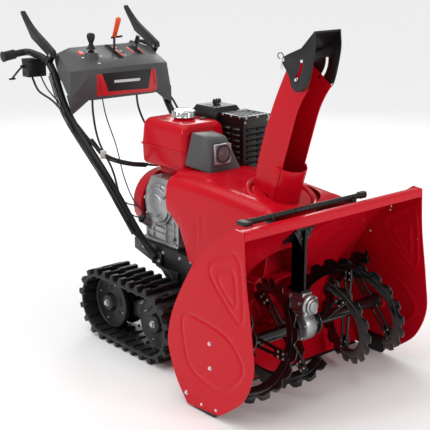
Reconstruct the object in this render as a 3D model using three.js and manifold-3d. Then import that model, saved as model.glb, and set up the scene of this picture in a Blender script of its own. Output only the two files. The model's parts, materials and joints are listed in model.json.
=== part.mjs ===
// Two-stage walk-behind snowblower on rubber tracks, in millimetres, +Z up.
// It faces -Y. +X is the operator's left, so "right" names lie on the -X side.
// Lengths along Y are counted backwards from the front edge of the auger housing,
// and the finished group is moved forwards so that the origin lies under its middle.
import * as THREE from "three";
import { mergeVertices } from "three/addons/utils/BufferGeometryUtils.js";
import { ConvexGeometry } from "three/addons/geometries/ConvexGeometry.js";
import Module from "manifold-3d";

const wasm = await Module();
wasm.setup();

// ---------------------------------------------------------------- driving dimensions

const GAP = 0.4; // clearance between pieces that touch
const ORIGIN_BACK = 723; // distance from the housing's front edge back to the origin

const HOUSING_HALF = 412; // half the clearing width, to the outer faces of the side plates
const PLATE = 4; // sheet thickness of the auger housing and its side plates
const AUGER = { y: 148, z: 210, radius: 190, tube: 21, shaft: 12 };
const FAN = { z: 290, radius: 158, drum: 174, front: 352, back: 418, shaft: 11 };
const DRUM_BACK = 430; // rear face of the fan's drum
const CRANK_Z = 500; // height of the engine's crankshaft
const PULLEY_Y = 492; // middle plane of the belt drive

const CHUTE = { y: 262, z: 640, lean: THREE.MathUtils.degToRad(17.4), half: 54, ring: 104 };
const DEFLECTOR_HINGE = { v: 84, w: 466 }; // across and along the leaning chute
const SLOT_BOLT = { v: 14, w: 427 }; // the same, for the bolt that guides the deflector

const COVER_HALF = 182; // half the width of the belt cover
const TRACK = { inner: 166, outer: 320, y1: 621, y2: 910, z: 140, belt: 118, lug: 22, wall: 9 };
const BAR = 14; // radius of the handlebar tube
const LEVER_PIVOT = { x: 250, y: 1284, z: 1042 };

// ---------------------------------------------------------------- materials

const finish = (color, roughness, metalness) =>
  new THREE.MeshStandardMaterial({ color, roughness, metalness });
const redPaint = finish(0xc8141e, 0.25, 0.1);
const blackPaint = finish(0x141414, 0.35, 0.2);
const blackPlastic = finish(0x1b1b1c, 0.55, 0);
const greyPlastic = finish(0x5c5e60, 0.5, 0);
const castAlloy = finish(0xa9abac, 0.45, 0.8);
const steel = finish(0xb8babc, 0.3, 0.9);
const rubber = finish(0x161616, 0.85, 0);
const clearPlastic = finish(0xd8dde0, 0.1, 0);
const orangePlastic = finish(0xe8521c, 0.45, 0);

// ---------------------------------------------------------------- solids from shapes

// A closed geometry as a solid that can be joined and cut.
function solid(geometry) {
  const bare = geometry.index ? geometry.toNonIndexed() : geometry.clone();
  bare.deleteAttribute("normal");
  bare.deleteAttribute("uv");
  const merged = mergeVertices(bare, 1e-3);
  const vertProperties = merged.attributes.position.array;
  const triVerts = new Uint32Array(merged.index.array);
  return new wasm.Manifold(new wasm.Mesh({ numProp: 3, vertProperties, triVerts }));
}

const join = (...solids) => solids.reduce((sum, next) => sum.add(next));
const cut = (body, ...tools) => tools.reduce((rest, tool) => rest.subtract(tool), body);

function geometryOf(body) {
  const data = body.getMesh();
  const positions = new Float32Array(data.numVert * 3);
  for (let i = 0; i < data.numVert; i++)
    positions.set(data.vertProperties.subarray(i * data.numProp, i * data.numProp + 3), i * 3);
  const geometry = new THREE.BufferGeometry();
  geometry.setAttribute("position", new THREE.BufferAttribute(positions, 3));
  geometry.setIndex(new THREE.BufferAttribute(data.triVerts, 1));
  geometry.computeVertexNormals();
  return geometry;
}

// The same closed geometry on the other side of the machine.
function mirrored(geometry) {
  const copy = geometry.index ? geometry.toNonIndexed() : geometry.clone();
  const position = copy.attributes.position;
  for (let i = 0; i < position.count; i++) position.setX(i, -position.getX(i));
  for (let i = 0; i < position.count; i += 3) {
    const second = new THREE.Vector3().fromBufferAttribute(position, i + 1);
    const third = new THREE.Vector3().fromBufferAttribute(position, i + 2);
    position.setXYZ(i + 1, third.x, third.y, third.z);
    position.setXYZ(i + 2, second.x, second.y, second.z);
  }
  return copy;
}

// side is -1 for the operator's right and +1 for the left; pieces are drawn on the +X side.
const onSide = (side, body) => (side > 0 ? body : solid(mirrored(geometryOf(body))));

function box(x0, x1, y0, y1, z0, z1) {
  const geometry = new THREE.BoxGeometry(x1 - x0, y1 - y0, z1 - z0);
  geometry.translate((x0 + x1) / 2, (y0 + y1) / 2, (z0 + z1) / 2);
  return solid(geometry);
}

const point = (x, y, z) => new THREE.Vector3(x, y, z);

// A round bar, or a cone where the two radii differ, from one point to another.
function rod(from, to, radius, sides = 16, endRadius = radius) {
  const axis = to.clone().sub(from);
  const geometry = new THREE.CylinderGeometry(endRadius, radius, axis.length(), sides);
  geometry.translate(0, axis.length() / 2, 0);
  const turn = new THREE.Quaternion().setFromUnitVectors(point(0, 1, 0), axis.normalize());
  geometry.applyQuaternion(turn);
  geometry.translate(from.x, from.y, from.z);
  return solid(geometry);
}

const rodX = (x0, x1, y, z, radius, sides) => rod(point(x0, y, z), point(x1, y, z), radius, sides);
const rodY = (y0, y1, x, z, radius, sides) => rod(point(x, y0, z), point(x, y1, z), radius, sides);
const rodZ = (z0, z1, x, y, radius, sides) => rod(point(x, y, z0), point(x, y, z1), radius, sides);

// The faceted body that wraps a set of points.
const wrap = (...points) => solid(new ConvexGeometry(points));

function shapeOf(points) {
  return new THREE.Shape(points.map(([u, v]) => new THREE.Vector2(u, v)));
}

// An outline drawn in (y, z) and made thick along X.
function acrossX(outline, x0, x1) {
  const shape = outline instanceof THREE.Shape ? outline : shapeOf(outline);
  const geometry = new THREE.ExtrudeGeometry(shape, { depth: x1 - x0, bevelEnabled: false });
  const basis = new THREE.Matrix4().makeBasis(point(0, 1, 0), point(0, 0, 1), point(1, 0, 0));
  return solid(geometry.applyMatrix4(basis).translate(x0, 0, 0));
}

// An outline drawn in (x, z) and made thick along Y.
function acrossY(outline, y0, y1) {
  const shape = outline instanceof THREE.Shape ? outline : shapeOf(outline);
  const geometry = new THREE.ExtrudeGeometry(shape, { depth: y1 - y0, bevelEnabled: false });
  const basis = new THREE.Matrix4().makeBasis(point(1, 0, 0), point(0, 0, 1), point(0, -1, 0));
  return solid(geometry.applyMatrix4(basis).translate(0, y1, 0));
}

// A round tube or cable along a smooth route, or a bar of another section.
function sweep(points, radius, sides = 12, step = radius * 4) {
  const route = new THREE.CatmullRomCurve3(points, false, "centripetal");
  const section = new THREE.Shape();
  for (let i = 0; i < sides; i++) {
    const angle = (i / sides) * Math.PI * 2;
    const at = [radius * Math.cos(angle), radius * Math.sin(angle)];
    if (i) section.lineTo(...at);
    else section.moveTo(...at);
  }
  const steps = Math.min(80, Math.max(4, Math.round(route.getLength() / step)));
  return solid(new THREE.ExtrudeGeometry(section, { extrudePath: route, steps }));
}

// An open line of (u, v) points moved sideways, to its left for a positive distance.
function offsetLine(points, distance) {
  return points.map(([u, v], i) => {
    const [u0, v0] = points[Math.max(i - 1, 0)];
    const [u1, v1] = points[Math.min(i + 1, points.length - 1)];
    const length = Math.hypot(u1 - u0, v1 - v0);
    return [u - ((v1 - v0) / length) * distance, v + ((u1 - u0) / length) * distance];
  });
}

const curveThrough = (points, count) =>
  new THREE.SplineCurve(points.map(([u, v]) => new THREE.Vector2(u, v)))
    .getPoints(count)
    .map((p) => [p.x, p.y]);

// ---------------------------------------------------------------- auger housing

// The side plate's rear edge, from the top front corner down to the scraper.
const rearEdge = curveThrough(
  [[31, 655], [95, 611], [177, 550], [236, 485], [327, 332], [361, 226], [356, 161], [319, 77], [262, 5]],
  28,
);
const frontEdge = curveThrough(
  [[66, 44], [-12, 112], [-55, 215], [-46, 326], [-17, 509], [-7, 652]],
  18,
);
const WALL_INSET = 12;
const CLEAN_OUT = { y: 50, z: 659, radius: 10 }; // the tool that lies on the roof
const wallOutside = offsetLine(rearEdge, -WALL_INSET);
const wallInside = offsetLine(rearEdge, -WALL_INSET - PLATE);

function sidePlate() {
  const plate = acrossX([[103, 20], ...frontEdge, ...rearEdge], HOUSING_HALF - PLATE, HOUSING_HALF);
  const boltHead = (y, z, radius) => rodX(HOUSING_HALF - 1, HOUSING_HALF + 5, y, z, radius, 8);
  const bearingCup = cut(
    rodX(HOUSING_HALF - 26, HOUSING_HALF - 2, AUGER.y, AUGER.z, 34),
    rodX(HOUSING_HALF - 30, HOUSING_HALF - 5, AUGER.y, AUGER.z, AUGER.shaft + GAP),
  );
  const plateBolts = [[149, 252, 8], [147, 169, 8], [267, 42, 10]];
  return join(plate, bearingCup, ...plateBolts.map((bolt) => boltHead(...bolt)));
}

function augerHousing() {
  const half = HOUSING_HALF - PLATE - GAP;
  const lip = [[-7, 624], [-7, 652], [22, 652]];
  const lipInside = [[-3, 624], [-3, 648], [18, 648]];
  const inside = [...wallInside.slice(1).reverse(), ...lipInside.reverse()];
  const profile = [...lip, ...wallOutside.slice(1), ...inside];
  const wall = acrossX(profile, -half, half);
  const stickClips = [-250, 120].map((x) =>
    cut(box(x - 6, x + 6, 38, 62, 600, CLEAN_OUT.z - CLEAN_OUT.radius - GAP), underRoof(0)),
  );
  return cut(join(wall, ...stickClips), rodY(180, 440, 0, FAN.z, FAN.drum, 32));
}

// Everything in front of the housing's curved wall, used to trim what meets it from behind.
function housingSpace(clearance) {
  const line = offsetLine(rearEdge, -WALL_INSET + clearance);
  const outline = [[-60, 700], ...line, [240, -40], [-60, -40]];
  return acrossX(outline, -HOUSING_HALF, HOUSING_HALF);
}

// The auger's room, seen from inside: everything below the roof and in front of the wall.
function underRoof(clearance) {
  const line = offsetLine(rearEdge, -WALL_INSET - PLATE - clearance);
  const outline = [[-60, 640], ...line.slice(2), [240, -40], [-60, -40]];
  return acrossX(outline, -HOUSING_HALF, HOUSING_HALF);
}

function scraperBlade() {
  const half = HOUSING_HALF - PLATE - 12;
  return acrossX([[300, 40], [262, 4], [256, 1], [250, 4], [293, 46]], -half, half);
}

function skidShoe() {
  const sole = [[112, 24], [126, 4], [140, 0], [238, 0], [244, 6], [246, 40], [232, 66], [128, 66]];
  return acrossX(sole, HOUSING_HALF - PLATE - 8, HOUSING_HALF - PLATE - GAP);
}

function blowerHousing() {
  const drum = cut(
    rodY(190, DRUM_BACK, 0, FAN.z, FAN.drum + PLATE, 32),
    rodY(180, DRUM_BACK - PLATE, 0, FAN.z, FAN.drum, 32),
    rodY(DRUM_BACK - 10, DRUM_BACK + 10, 0, FAN.z, FAN.shaft + 3 * GAP, 20),
  );
  const lean = new THREE.Vector3(0, -Math.sin(CHUTE.lean), Math.cos(CHUTE.lean));
  const along = (w) => point(0, CHUTE.y, CHUTE.z).addScaledVector(lean, w);
  const spout = rod(along(-260), along(-6), 84, 24);
  const flange = rod(along(-14), along(-4), CHUTE.ring + 22, 28);
  const spoutBore = rod(along(-300), along(10), 80, 24);
  const drumInside = rodY(180, DRUM_BACK - PLATE, 0, FAN.z, FAN.drum, 32);
  const outside = join(drum, cut(spout, drumInside), flange);
  return cut(outside, spoutBore.intersect(box(-90, 90, 180, DRUM_BACK - PLATE, 400, 700)), housingSpace(GAP));
}

function gearboxBrace() {
  const web = acrossX([[138, 338], [200, 338], [206, 560], [140, 560]], -3, 3);
  const tab = cut(box(-44, 44, 142, 206, 440, 600), underRoof(GAP + 4));
  const foot = box(-22, 22, 134, 200, 331 + GAP, 339);
  return join(web, tab, foot).intersect(underRoof(GAP));
}

function cleanOutStick() {
  const { y, z, radius } = CLEAN_OUT;
  const pole = rodX(-150, 186, y, z, radius, 10);
  const handle = rodX(-345, -150, y, z, radius, 10);
  const blade = box(-372, -340, y - 22, y + 22, z - 7, z + 7);
  return join(pole, handle, blade);
}

// ---------------------------------------------------------------- auger and fan

// One serrated ribbon: a flat band that winds once round the auger's axis.
function ribbon(startAngle, xStart, pitch, turns) {
  const steps = Math.round(turns * 24);
  const inner = AUGER.radius - 52;
  const thick = 5;
  const positions = [];
  const ring = (i) => {
    const angle = startAngle + (i / steps) * turns * Math.PI * 2;
    const x = xStart + (i / steps) * turns * pitch;
    const outer = AUGER.radius - (i % 2 ? 12 : 0);
    const at = (radius, dx) =>
      point(x + dx, AUGER.y + radius * Math.cos(angle), AUGER.z + radius * Math.sin(angle));
    return [at(inner, -thick / 2), at(outer, -thick / 2), at(outer, thick / 2), at(inner, thick / 2)];
  };
  const face = (a, b, c) => positions.push(...a, ...b, ...c);
  for (let i = 0; i < steps; i++) {
    const near = ring(i).map((p) => p.toArray());
    const far = ring(i + 1).map((p) => p.toArray());
    for (let k = 0; k < 4; k++) {
      const next = (k + 1) % 4;
      face(near[k], far[next], near[next]);
      face(near[k], far[k], far[next]);
    }
  }
  const first = ring(0).map((p) => p.toArray());
  const last = ring(steps).map((p) => p.toArray());
  face(first[0], first[1], first[2]);
  face(first[0], first[2], first[3]);
  face(last[0], last[2], last[1]);
  face(last[0], last[3], last[2]);
  const geometry = new THREE.BufferGeometry();
  geometry.setAttribute("position", new THREE.Float32BufferAttribute(positions, 3));
  return solid(geometry);
}

const RIBBON = { pitch: 350, turns: 0.9, first: 62 };
const AUGER_PHASE = { right: 0.35, left: 1.92 }; // angle at which each half's first ribbon starts

function augerHalf(startAngle) {
  const arms = [];
  const ribbons = [];
  for (const phase of [0, Math.PI]) {
    const start = startAngle + phase;
    ribbons.push(ribbon(start, RIBBON.first, RIBBON.pitch, RIBBON.turns));
    for (const turn of [0.08, 0.5, 0.92]) {
      const angle = start + turn * RIBBON.turns * Math.PI * 2;
      const x = RIBBON.first + turn * RIBBON.turns * RIBBON.pitch;
      const arm = box(x - 5, x + 5, -16, 16, AUGER.tube - 4, AUGER.radius - 34);
      arms.push(arm.rotate([(angle * 180) / Math.PI - 90, 0, 0]).translate([0, AUGER.y, AUGER.z]));
    }
  }
  const tube = rodX(46, 384, AUGER.y, AUGER.z, AUGER.tube, 12);
  const flange = rodX(46, 54, AUGER.y, AUGER.z, 46, 16);
  const bore = rodX(30, 400, AUGER.y, AUGER.z, AUGER.shaft + GAP, 16);
  return cut(join(tube, flange, ...arms, ...ribbons), bore);
}

const WORM = { radius: 33, wheel: 45, length: 44 };

function augerShaft() {
  const shaft = rodX(-404, 404, AUGER.y, AUGER.z, AUGER.shaft, 16);
  const wormWheel = rodX(-11, 11, AUGER.y, AUGER.z, WORM.wheel, 28);
  return join(shaft, wormWheel);
}

function impellerShaft() {
  const shaft = rodY(116, 520, 0, FAN.z, FAN.shaft, 16);
  const worm = rodY(AUGER.y - WORM.length / 2, AUGER.y + WORM.length / 2, 0, FAN.z, WORM.radius, 16);
  return join(shaft, worm);
}

function gearbox() {
  const front = 92;
  const rear = 206;
  const outside = join(
    rodX(-28, 28, AUGER.y, AUGER.z, WORM.wheel + 6, 24),
    rodY(front + 14, rear, 0, FAN.z, WORM.radius + 5, 20),
    rodY(front, front + 14, 0, FAN.z, 30, 20),
    box(-22, 22, 126, 192, 268, 331),
    rodX(-43, 43, AUGER.y, AUGER.z, 28, 16),
  );
  const inside = join(
    rodX(-15, 15, AUGER.y, AUGER.z, WORM.wheel + 1, 24),
    rodY(front + 20, rear - 10, 0, FAN.z, WORM.radius + 1, 16),
    rodX(-60, 60, AUGER.y, AUGER.z, AUGER.shaft + GAP, 16),
    rodY(rear - 20, rear + 20, 0, FAN.z, FAN.shaft + GAP, 16),
  );
  return cut(outside, inside);
}

function impeller() {
  const hub = rodY(FAN.front + 6, FAN.back, 0, FAN.z, 34, 16);
  const backPlate = rodY(FAN.back - 4, FAN.back, 0, FAN.z, 96, 24);
  const blades = [0, 1, 2, 3, 4].map((i) => {
    const blade = box(-2.5, 2.5, FAN.front, FAN.back - 2, 28, FAN.radius);
    const curl = box(-2.5, 20, FAN.front, FAN.back - 2, FAN.radius - 5, FAN.radius);
    return join(blade, curl).rotate([0, i * 72 + 12, 0]).translate([0, 0, FAN.z]);
  });
  const bore = rodY(FAN.front - 10, FAN.back + 10, 0, FAN.z, FAN.shaft + GAP, 16);
  return cut(join(hub, backPlate, ...blades), bore);
}

// ---------------------------------------------------------------- belt drive and cover

const PULLEY = { big: 118, small: 44, width: 26 };

function pulley(z, radius, shaftRadius) {
  const half = PULLEY.width / 2;
  const rims = [-1, 1].map((end) => {
    const y = PULLEY_Y + end * (half - 2);
    return rodY(y - 2, y + 2, 0, z, radius, 24);
  });
  const core = rodY(PULLEY_Y - half, PULLEY_Y + half, 0, z, radius - 12, 24);
  return cut(join(core, ...rims), rodY(PULLEY_Y - 40, PULLEY_Y + 40, 0, z, shaftRadius + GAP, 16));
}

// The belt's loop round both pulleys: two arcs joined by the straight runs that touch them.
function driveBelt() {
  const loop = (big, small) => {
    const span = CRANK_Z - FAN.z;
    const tilt = Math.asin((big - small) / span);
    const arc = (z, radius, from, to) =>
      Array.from({ length: 17 }, (_, i) => {
        const angle = from + ((to - from) * i) / 16;
        return [radius * Math.cos(angle), z + radius * Math.sin(angle)];
      });
    const upper = arc(CRANK_Z, small, tilt, Math.PI - tilt);
    const lower = arc(FAN.z, big, Math.PI - tilt, 2 * Math.PI + tilt);
    return [...upper, ...lower];
  };
  const big = PULLEY.big - 12 + 1.5;
  const small = PULLEY.small - 12 + 1.5;
  const half = PULLEY.width / 2 - 5;
  const outside = acrossY(loop(big + 9, small + 9), PULLEY_Y - half, PULLEY_Y + half);
  return cut(outside, acrossY(loop(big, small), PULLEY_Y - half - 5, PULLEY_Y + half + 5));
}

const NECK = { front: 528, back: 655, base: 678, left: 54, right: -104 };

function beltCover() {
  const top = [[88, 606], [118, 640], [200, 652], [380, 666], [500, 671], [655, 664]];
  const rear = [[668, 640], [668, 536], [596, 488], [572, 440], [545, 378]];
  const low = [[440, 330], [300, 330]];
  const outer = acrossX([...low, ...top, ...rear], -COVER_HALF, COVER_HALF);
  const innerTop = top.map(([y, z]) => [y + 3, z - 4]);
  const inner = [[300, 300], ...innerTop, [700, 668], [700, 300]];
  const hollow = acrossX(inner, -COVER_HALF + 4, COVER_HALF - 4);
  const neck = wrap(
    point(NECK.right - 30, NECK.back + 4, 660), point(NECK.right - 14, NECK.front - 60, 660),
    point(NECK.left + 14, NECK.front - 60, 660), point(NECK.left + 30, NECK.back + 4, 660),
    point(NECK.right, NECK.back, NECK.base + 14), point(NECK.right + 16, NECK.front, NECK.base),
    point(NECK.left, NECK.front, NECK.base), point(NECK.left, NECK.back, NECK.base + 14),
  );
  const lean = new THREE.Vector3(0, -Math.sin(CHUTE.lean), Math.cos(CHUTE.lean));
  const along = (w) => point(0, CHUTE.y, CHUTE.z).addScaledVector(lean, w);
  const chuteHole = rod(along(-200), along(90), CHUTE.ring + 24, 28);
  return cut(join(cut(outer, hollow), neck), hollow, chuteHole, housingSpace(2 * GAP), engineSpace());
}

// The room that the engine's front face and crankshaft need inside the cover.
const engineSpace = () => box(-130, 400, 640, 1000, 300, 668).add(box(100, 400, 572, 1000, 400, 900));

function headlightHousing() {
  const base = NECK.base + GAP + 0.6;
  return wrap(
    point(NECK.right + 16, NECK.front, base), point(NECK.left, NECK.front, base),
    point(NECK.right, NECK.back, base + 14), point(NECK.left, NECK.back, base + 14),
    point(-68, NECK.front + 14, 786), point(2, NECK.front + 14, 784),
    point(-82, NECK.front + 42, 806), point(18, NECK.front + 42, 800), point(-70, NECK.back, 810),
    point(30, NECK.back, 804),
  );
}

function headlightLens() {
  const lens = box(-66, 4, NECK.front - 3, NECK.front + 9, 712, 782);
  return cut(lens, headlightHousing());
}

// ---------------------------------------------------------------- chute, drawn upright in its own frame

const chuteRear = (w) => 104 - 0.00035 * (w - 150) ** 2;
const chuteFront = (w) => -20 - (w > 300 ? 0.0017 * (w - 300) ** 2 : 0);
const CHUTE_TOP = { rear: 452, front: 420 };
const COLLAR_TOP = 124; // the round front of the chute's foot reaches this high

function chute() {
  const heights = (top) => Array.from({ length: 9 }, (_, i) => 4 + ((top - 4) * i) / 8);
  const rear = heights(CHUTE_TOP.rear).map((w) => [chuteRear(w), w]);
  const front = heights(CHUTE_TOP.front).map((w) => [chuteFront(w), w]);
  const outline = [...rear, ...front.reverse()];
  const outer = acrossX(outline, -CHUTE.half, CHUTE.half);
  const innerRear = rear.map(([v, w]) => [v - 3.5, w]);
  const inner = [
    [innerRear[0][0], -20], ...innerRear.slice(1), [innerRear[8][0], 600], [-200, 600], [-200, -20],
  ];
  const channel = cut(outer, acrossX(inner, -CHUTE.half + 3.5, CHUTE.half - 3.5));
  const collarBore = rodZ(-10, 140, 0, 0, 58.5, 24);
  const collarFront = cut(rodZ(4, COLLAR_TOP, 0, 0, 62, 24), collarBore, box(-70, 70, -18, 80, -10, 140));
  const collarJoints = [box(50.5, 60, -22, -15, 4, COLLAR_TOP), box(-60, -50.5, -22, -15, 4, COLLAR_TOP)];
  const collar = join(collarFront, ...collarJoints);
  const turntable = cut(rodZ(0, 8, 0, 0, CHUTE.ring, 28), rodZ(-5, 20, 0, 0, 56, 24));
  const pin = rodX(-CHUTE.half - 8, CHUTE.half + 8, DEFLECTOR_HINGE.v, DEFLECTOR_HINGE.w, 4, 10);
  const ears = [-1, 1].map((side) => {
    const x = side * (CHUTE.half - 2);
    return acrossX([[96, 430], [94, 460], [88, 468], [78, 470], [70, 465], [66, 430]], x - 2, x + 2);
  });
  const slotBolts = [-1, 1].map((side) => {
    const reach = side * (CHUTE.half + 10);
    const root = side * (CHUTE.half - 3);
    return rodX(Math.min(reach, root), Math.max(reach, root), SLOT_BOLT.v, SLOT_BOLT.w, 5, 10);
  });
  return join(channel, collar, turntable, pin, ...ears, ...slotBolts);
}

const DEFLECTOR_TRAVEL = 46; // degrees
const slotReach = [SLOT_BOLT.v - DEFLECTOR_HINGE.v, SLOT_BOLT.w - DEFLECTOR_HINGE.w];
const slotRadius = Math.hypot(...slotReach);
const slotStart = THREE.MathUtils.radToDeg(Math.atan2(slotReach[1], slotReach[0])) + 360;

function deflector() {
  const wide = CHUTE.half + 5;
  const cheek = [
    [-14, 601], [22, 531], [74, 488], [92, 470], [86, 456],
    [46, 430], [16, 397], [-15, 400], [-43, 431], [-36, 538],
  ];
  const outer = acrossX(cheek, -wide, wide);
  const inner = [[-14, 597], [19, 529], [71, 485], [160, 420], [100, 300], [-100, 300], [-100, 560]];
  const hollow = acrossX(inner, -wide + 3, wide - 3);
  const arc = (radius) =>
    Array.from({ length: 9 }, (_, i) => {
      const angle = THREE.MathUtils.degToRad(slotStart + 5.5 - ((DEFLECTOR_TRAVEL + 11) * i) / 8);
      return [DEFLECTOR_HINGE.v + radius * Math.cos(angle), DEFLECTOR_HINGE.w + radius * Math.sin(angle)];
    });
  const slot = acrossX([...arc(slotRadius - 6.5), ...arc(slotRadius + 6.5).reverse()], -80, 80);
  const pinHole = rodX(-80, 80, DEFLECTOR_HINGE.v, DEFLECTOR_HINGE.w, 4 + GAP, 12);
  return cut(outer, hollow, slot, pinHole);
}

// ---------------------------------------------------------------- engine

function crankcase() {
  const block = acrossX([[690, 372], [890, 372], [890, 560], [850, 622], [740, 622], [690, 590]], -108, 96);
  const sideCover = rodX(-118, -100, 800, 520, 74, 22);
  const foot = box(-122, 112, 676, 890, 371, 384);
  const oilFiller = rod(point(-90, 860, 420), point(-134, 872, 452), 15, 14);
  const crankshaft = rodY(470, 700, 0, CRANK_Z, 12, 16);
  return join(block, sideCover, foot, oilFiller, crankshaft);
}

function cylinderHead() {
  const barrel = box(96 + GAP, 172, 700, 830, 470, 610);
  const fins = Array.from({ length: 4 }, (_, i) => box(108 + i * 17, 113 + i * 17, 690, 840, 460, 618));
  const shroud = box(150, 176, 690, 838, 440, 600);
  return join(barrel, ...fins, shroud);
}

function fuelTank() {
  const corners = (inset, z) =>
    [[-1, -1], [1, -1], [1, 1], [-1, 1]].map(([i, j]) =>
      point(9 + i * (98 - inset), 806 + j * (132 - inset), z),
    );
  const body = wrap(...corners(10, 652), ...corners(0, 672), ...corners(0, 806), ...corners(26, 830));
  const seam = wrap(...corners(-6, 730), ...corners(-6, 736));
  const neck = rodZ(825, 838, 10, 800, 34, 18);
  const straps = box(-40, 60, 720, 880, 622 + GAP, 656);
  return join(body, seam, neck, straps);
}

const fuelCap = () => join(rodZ(838 + GAP, 862, 10, 800, 45, 16), rodZ(862, 868, 10, 800, 38, 16));

function airCleaner() {
  const lid = wrap(
    ...[[-1, -1], [1, -1], [1, 1], [-1, 1]].flatMap(([i, j]) => [
      point(164 + i * 62, 794 + j * 66, 822), point(164 + i * 62, 794 + j * 66, 850),
      point(164 + i * 52, 794 + j * 56, 868),
    ]),
  );
  const base = box(120, 214, 735, 850, 690, 823);
  const elbow = box(124, 190, 740, 830, 619, 692);
  return join(lid, base, elbow, rodZ(866, 884, 164, 792, 6, 8), box(146, 182, 788, 796, 872, 888));
}

function muffler() {
  const can = box(118, 244, 588, 720, 640, 842);
  const lid = box(116, 248, 584, 722, 842, 852);
  const bracket = box(150, 200, 640, 686, 600, 642);
  const header = box(160, 196, 660, 690 - GAP - 2, 560, 602);
  return join(can, lid, bracket, header);
}

const ROPE = { x: 128, z: 604, radius: 3 };

function recoilCover() {
  const shell = cut(rodY(892 + GAP, 962, 0, CRANK_Z, 126, 28), rodY(880, 952, 0, CRANK_Z, 112, 26));
  const hub = rodY(900, 956, 0, CRANK_Z, 30, 16);
  const ropeBore = rodY(880, 960, ROPE.x, ROPE.z, ROPE.radius + GAP, 8);
  const ropeGuide = cut(box(80, ROPE.x + 14, 894, 928, ROPE.z - 22, ROPE.z + 12), ropeBore);
  const windows = Array.from({ length: 8 }, (_, i) =>
    box(-14, 14, 940, 970, 44, 98).rotate([0, i * 45, 0]).translate([0, 0, CRANK_Z]),
  );
  return join(cut(shell, ...windows), hub, ropeGuide);
}

function recoilHandle() {
  const grip = rodX(ROPE.x - 40, ROPE.x + 40, 972, ROPE.z, 11, 14);
  const rope = rodY(866, 965, ROPE.x, ROPE.z, ROPE.radius, 8);
  return join(grip, rope, rodY(955, 972, ROPE.x, ROPE.z, 7, 10));
}

// ---------------------------------------------------------------- frame and tracks

function mainFrame() {
  const deck = box(-130, 130, 540, 905, 352, 370 - GAP);
  const sides = [-1, 1].map((side) => {
    const x = side * 138;
    const outline = [
      [548, 236], [560, 372], [920, 372], [920, 330], [760, 290], [700, 236], [656, 100], [590, 100],
    ];
    return acrossX(outline, x - 3, x + 3);
  });
  const crossTies = [box(-138, 138, 900, 916, 340, 368), box(-138, 138, 548, 560, 300, 368)];
  const arms = [-1, 1].map((side) => box(side * 140 - 4, side * 140 + 4, DRUM_BACK + GAP, 552, 320, 362));
  return cut(join(deck, ...sides, ...crossTies, ...arms), rodX(-200, 200, TRACK.y1, TRACK.z, 13 + GAP, 16));
}

function transmission() {
  const body = wrap(
    ...[-1, 1].flatMap((side) => [
      point(side * 96, 570, 110), point(side * 96, 690, 104), point(side * 96, 740, 190),
      point(side * 96, 730, 318), point(side * 96, 590, 318), point(side * 96, 566, 200),
    ]),
  );
  const axle = rodX(-278, 278, TRACK.y1, TRACK.z, 13, 14);
  return join(body, axle);
}

// A belt outline in (y, z): two half circles joined by straight runs.
function loopOutline(radius) {
  const arc = (y, from) =>
    Array.from({ length: 15 }, (_, i) => {
      const angle = from + (Math.PI * i) / 14;
      return [y + radius * Math.cos(angle), TRACK.z + radius * Math.sin(angle)];
    });
  return [...arc(TRACK.y2, -Math.PI / 2), ...arc(TRACK.y1, Math.PI / 2)];
}

function trackBelt() {
  const band = cut(
    acrossX(loopOutline(TRACK.belt), TRACK.inner, TRACK.outer),
    acrossX(loopOutline(TRACK.belt - TRACK.wall), TRACK.inner - 5, TRACK.outer + 5),
  );
  const straight = TRACK.y2 - TRACK.y1;
  const length = 2 * straight + 2 * Math.PI * TRACK.belt;
  const count = 26;
  const lugs = Array.from({ length: count }, (_, i) => {
    const travel = (i / count) * length;
    const lug = wrap(
      ...[TRACK.inner, TRACK.outer].flatMap((x) => [
        point(x, -15, -3), point(x, 15, -3), point(x, 9, TRACK.lug), point(x, -9, TRACK.lug),
      ]),
    );
    return placeOnLoop(lug, travel, straight);
  });
  return join(band, ...lugs);
}

// Moves a lug drawn on the loop's surface at the origin to its place along the belt.
function placeOnLoop(lug, travel, straight) {
  const halfTurn = Math.PI * TRACK.belt;
  if (travel < straight) return lug.translate([0, TRACK.y1 + travel, TRACK.z + TRACK.belt]);
  if (travel < straight + halfTurn) {
    const angle = (travel - straight) / TRACK.belt;
    const placed = lug.translate([0, 0, TRACK.belt]).rotate([(-angle * 180) / Math.PI, 0, 0]);
    return placed.translate([0, TRACK.y2, TRACK.z]);
  }
  const low = travel - straight - halfTurn;
  if (low < straight)
    return lug.rotate([180, 0, 0]).translate([0, TRACK.y2 - low, TRACK.z - TRACK.belt]);
  const angle = (low - straight) / TRACK.belt;
  const placed = lug.translate([0, 0, TRACK.belt]).rotate([180 - (angle * 180) / Math.PI, 0, 0]);
  return placed.translate([0, TRACK.y1, TRACK.z]);
}

const WHEEL = { radius: 101, x0: 176, x1: 296 };

function wheel(y) {
  const rims = [[WHEEL.x0, 190], [252, 264]].map(([x0, x1]) => rodX(x0, x1, y, TRACK.z, WHEEL.radius, 26));
  const hub = rodX(WHEEL.x0, WHEEL.x1 - 12, y, TRACK.z, 30, 14);
  const nut = rodX(WHEEL.x1 - 14, WHEEL.x1, y, TRACK.z, 14, 6);
  const bore = rodX(WHEEL.x0 - 10, 280, y, TRACK.z, 13 + GAP, 14);
  return cut(join(...rims, hub, nut), bore);
}

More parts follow.
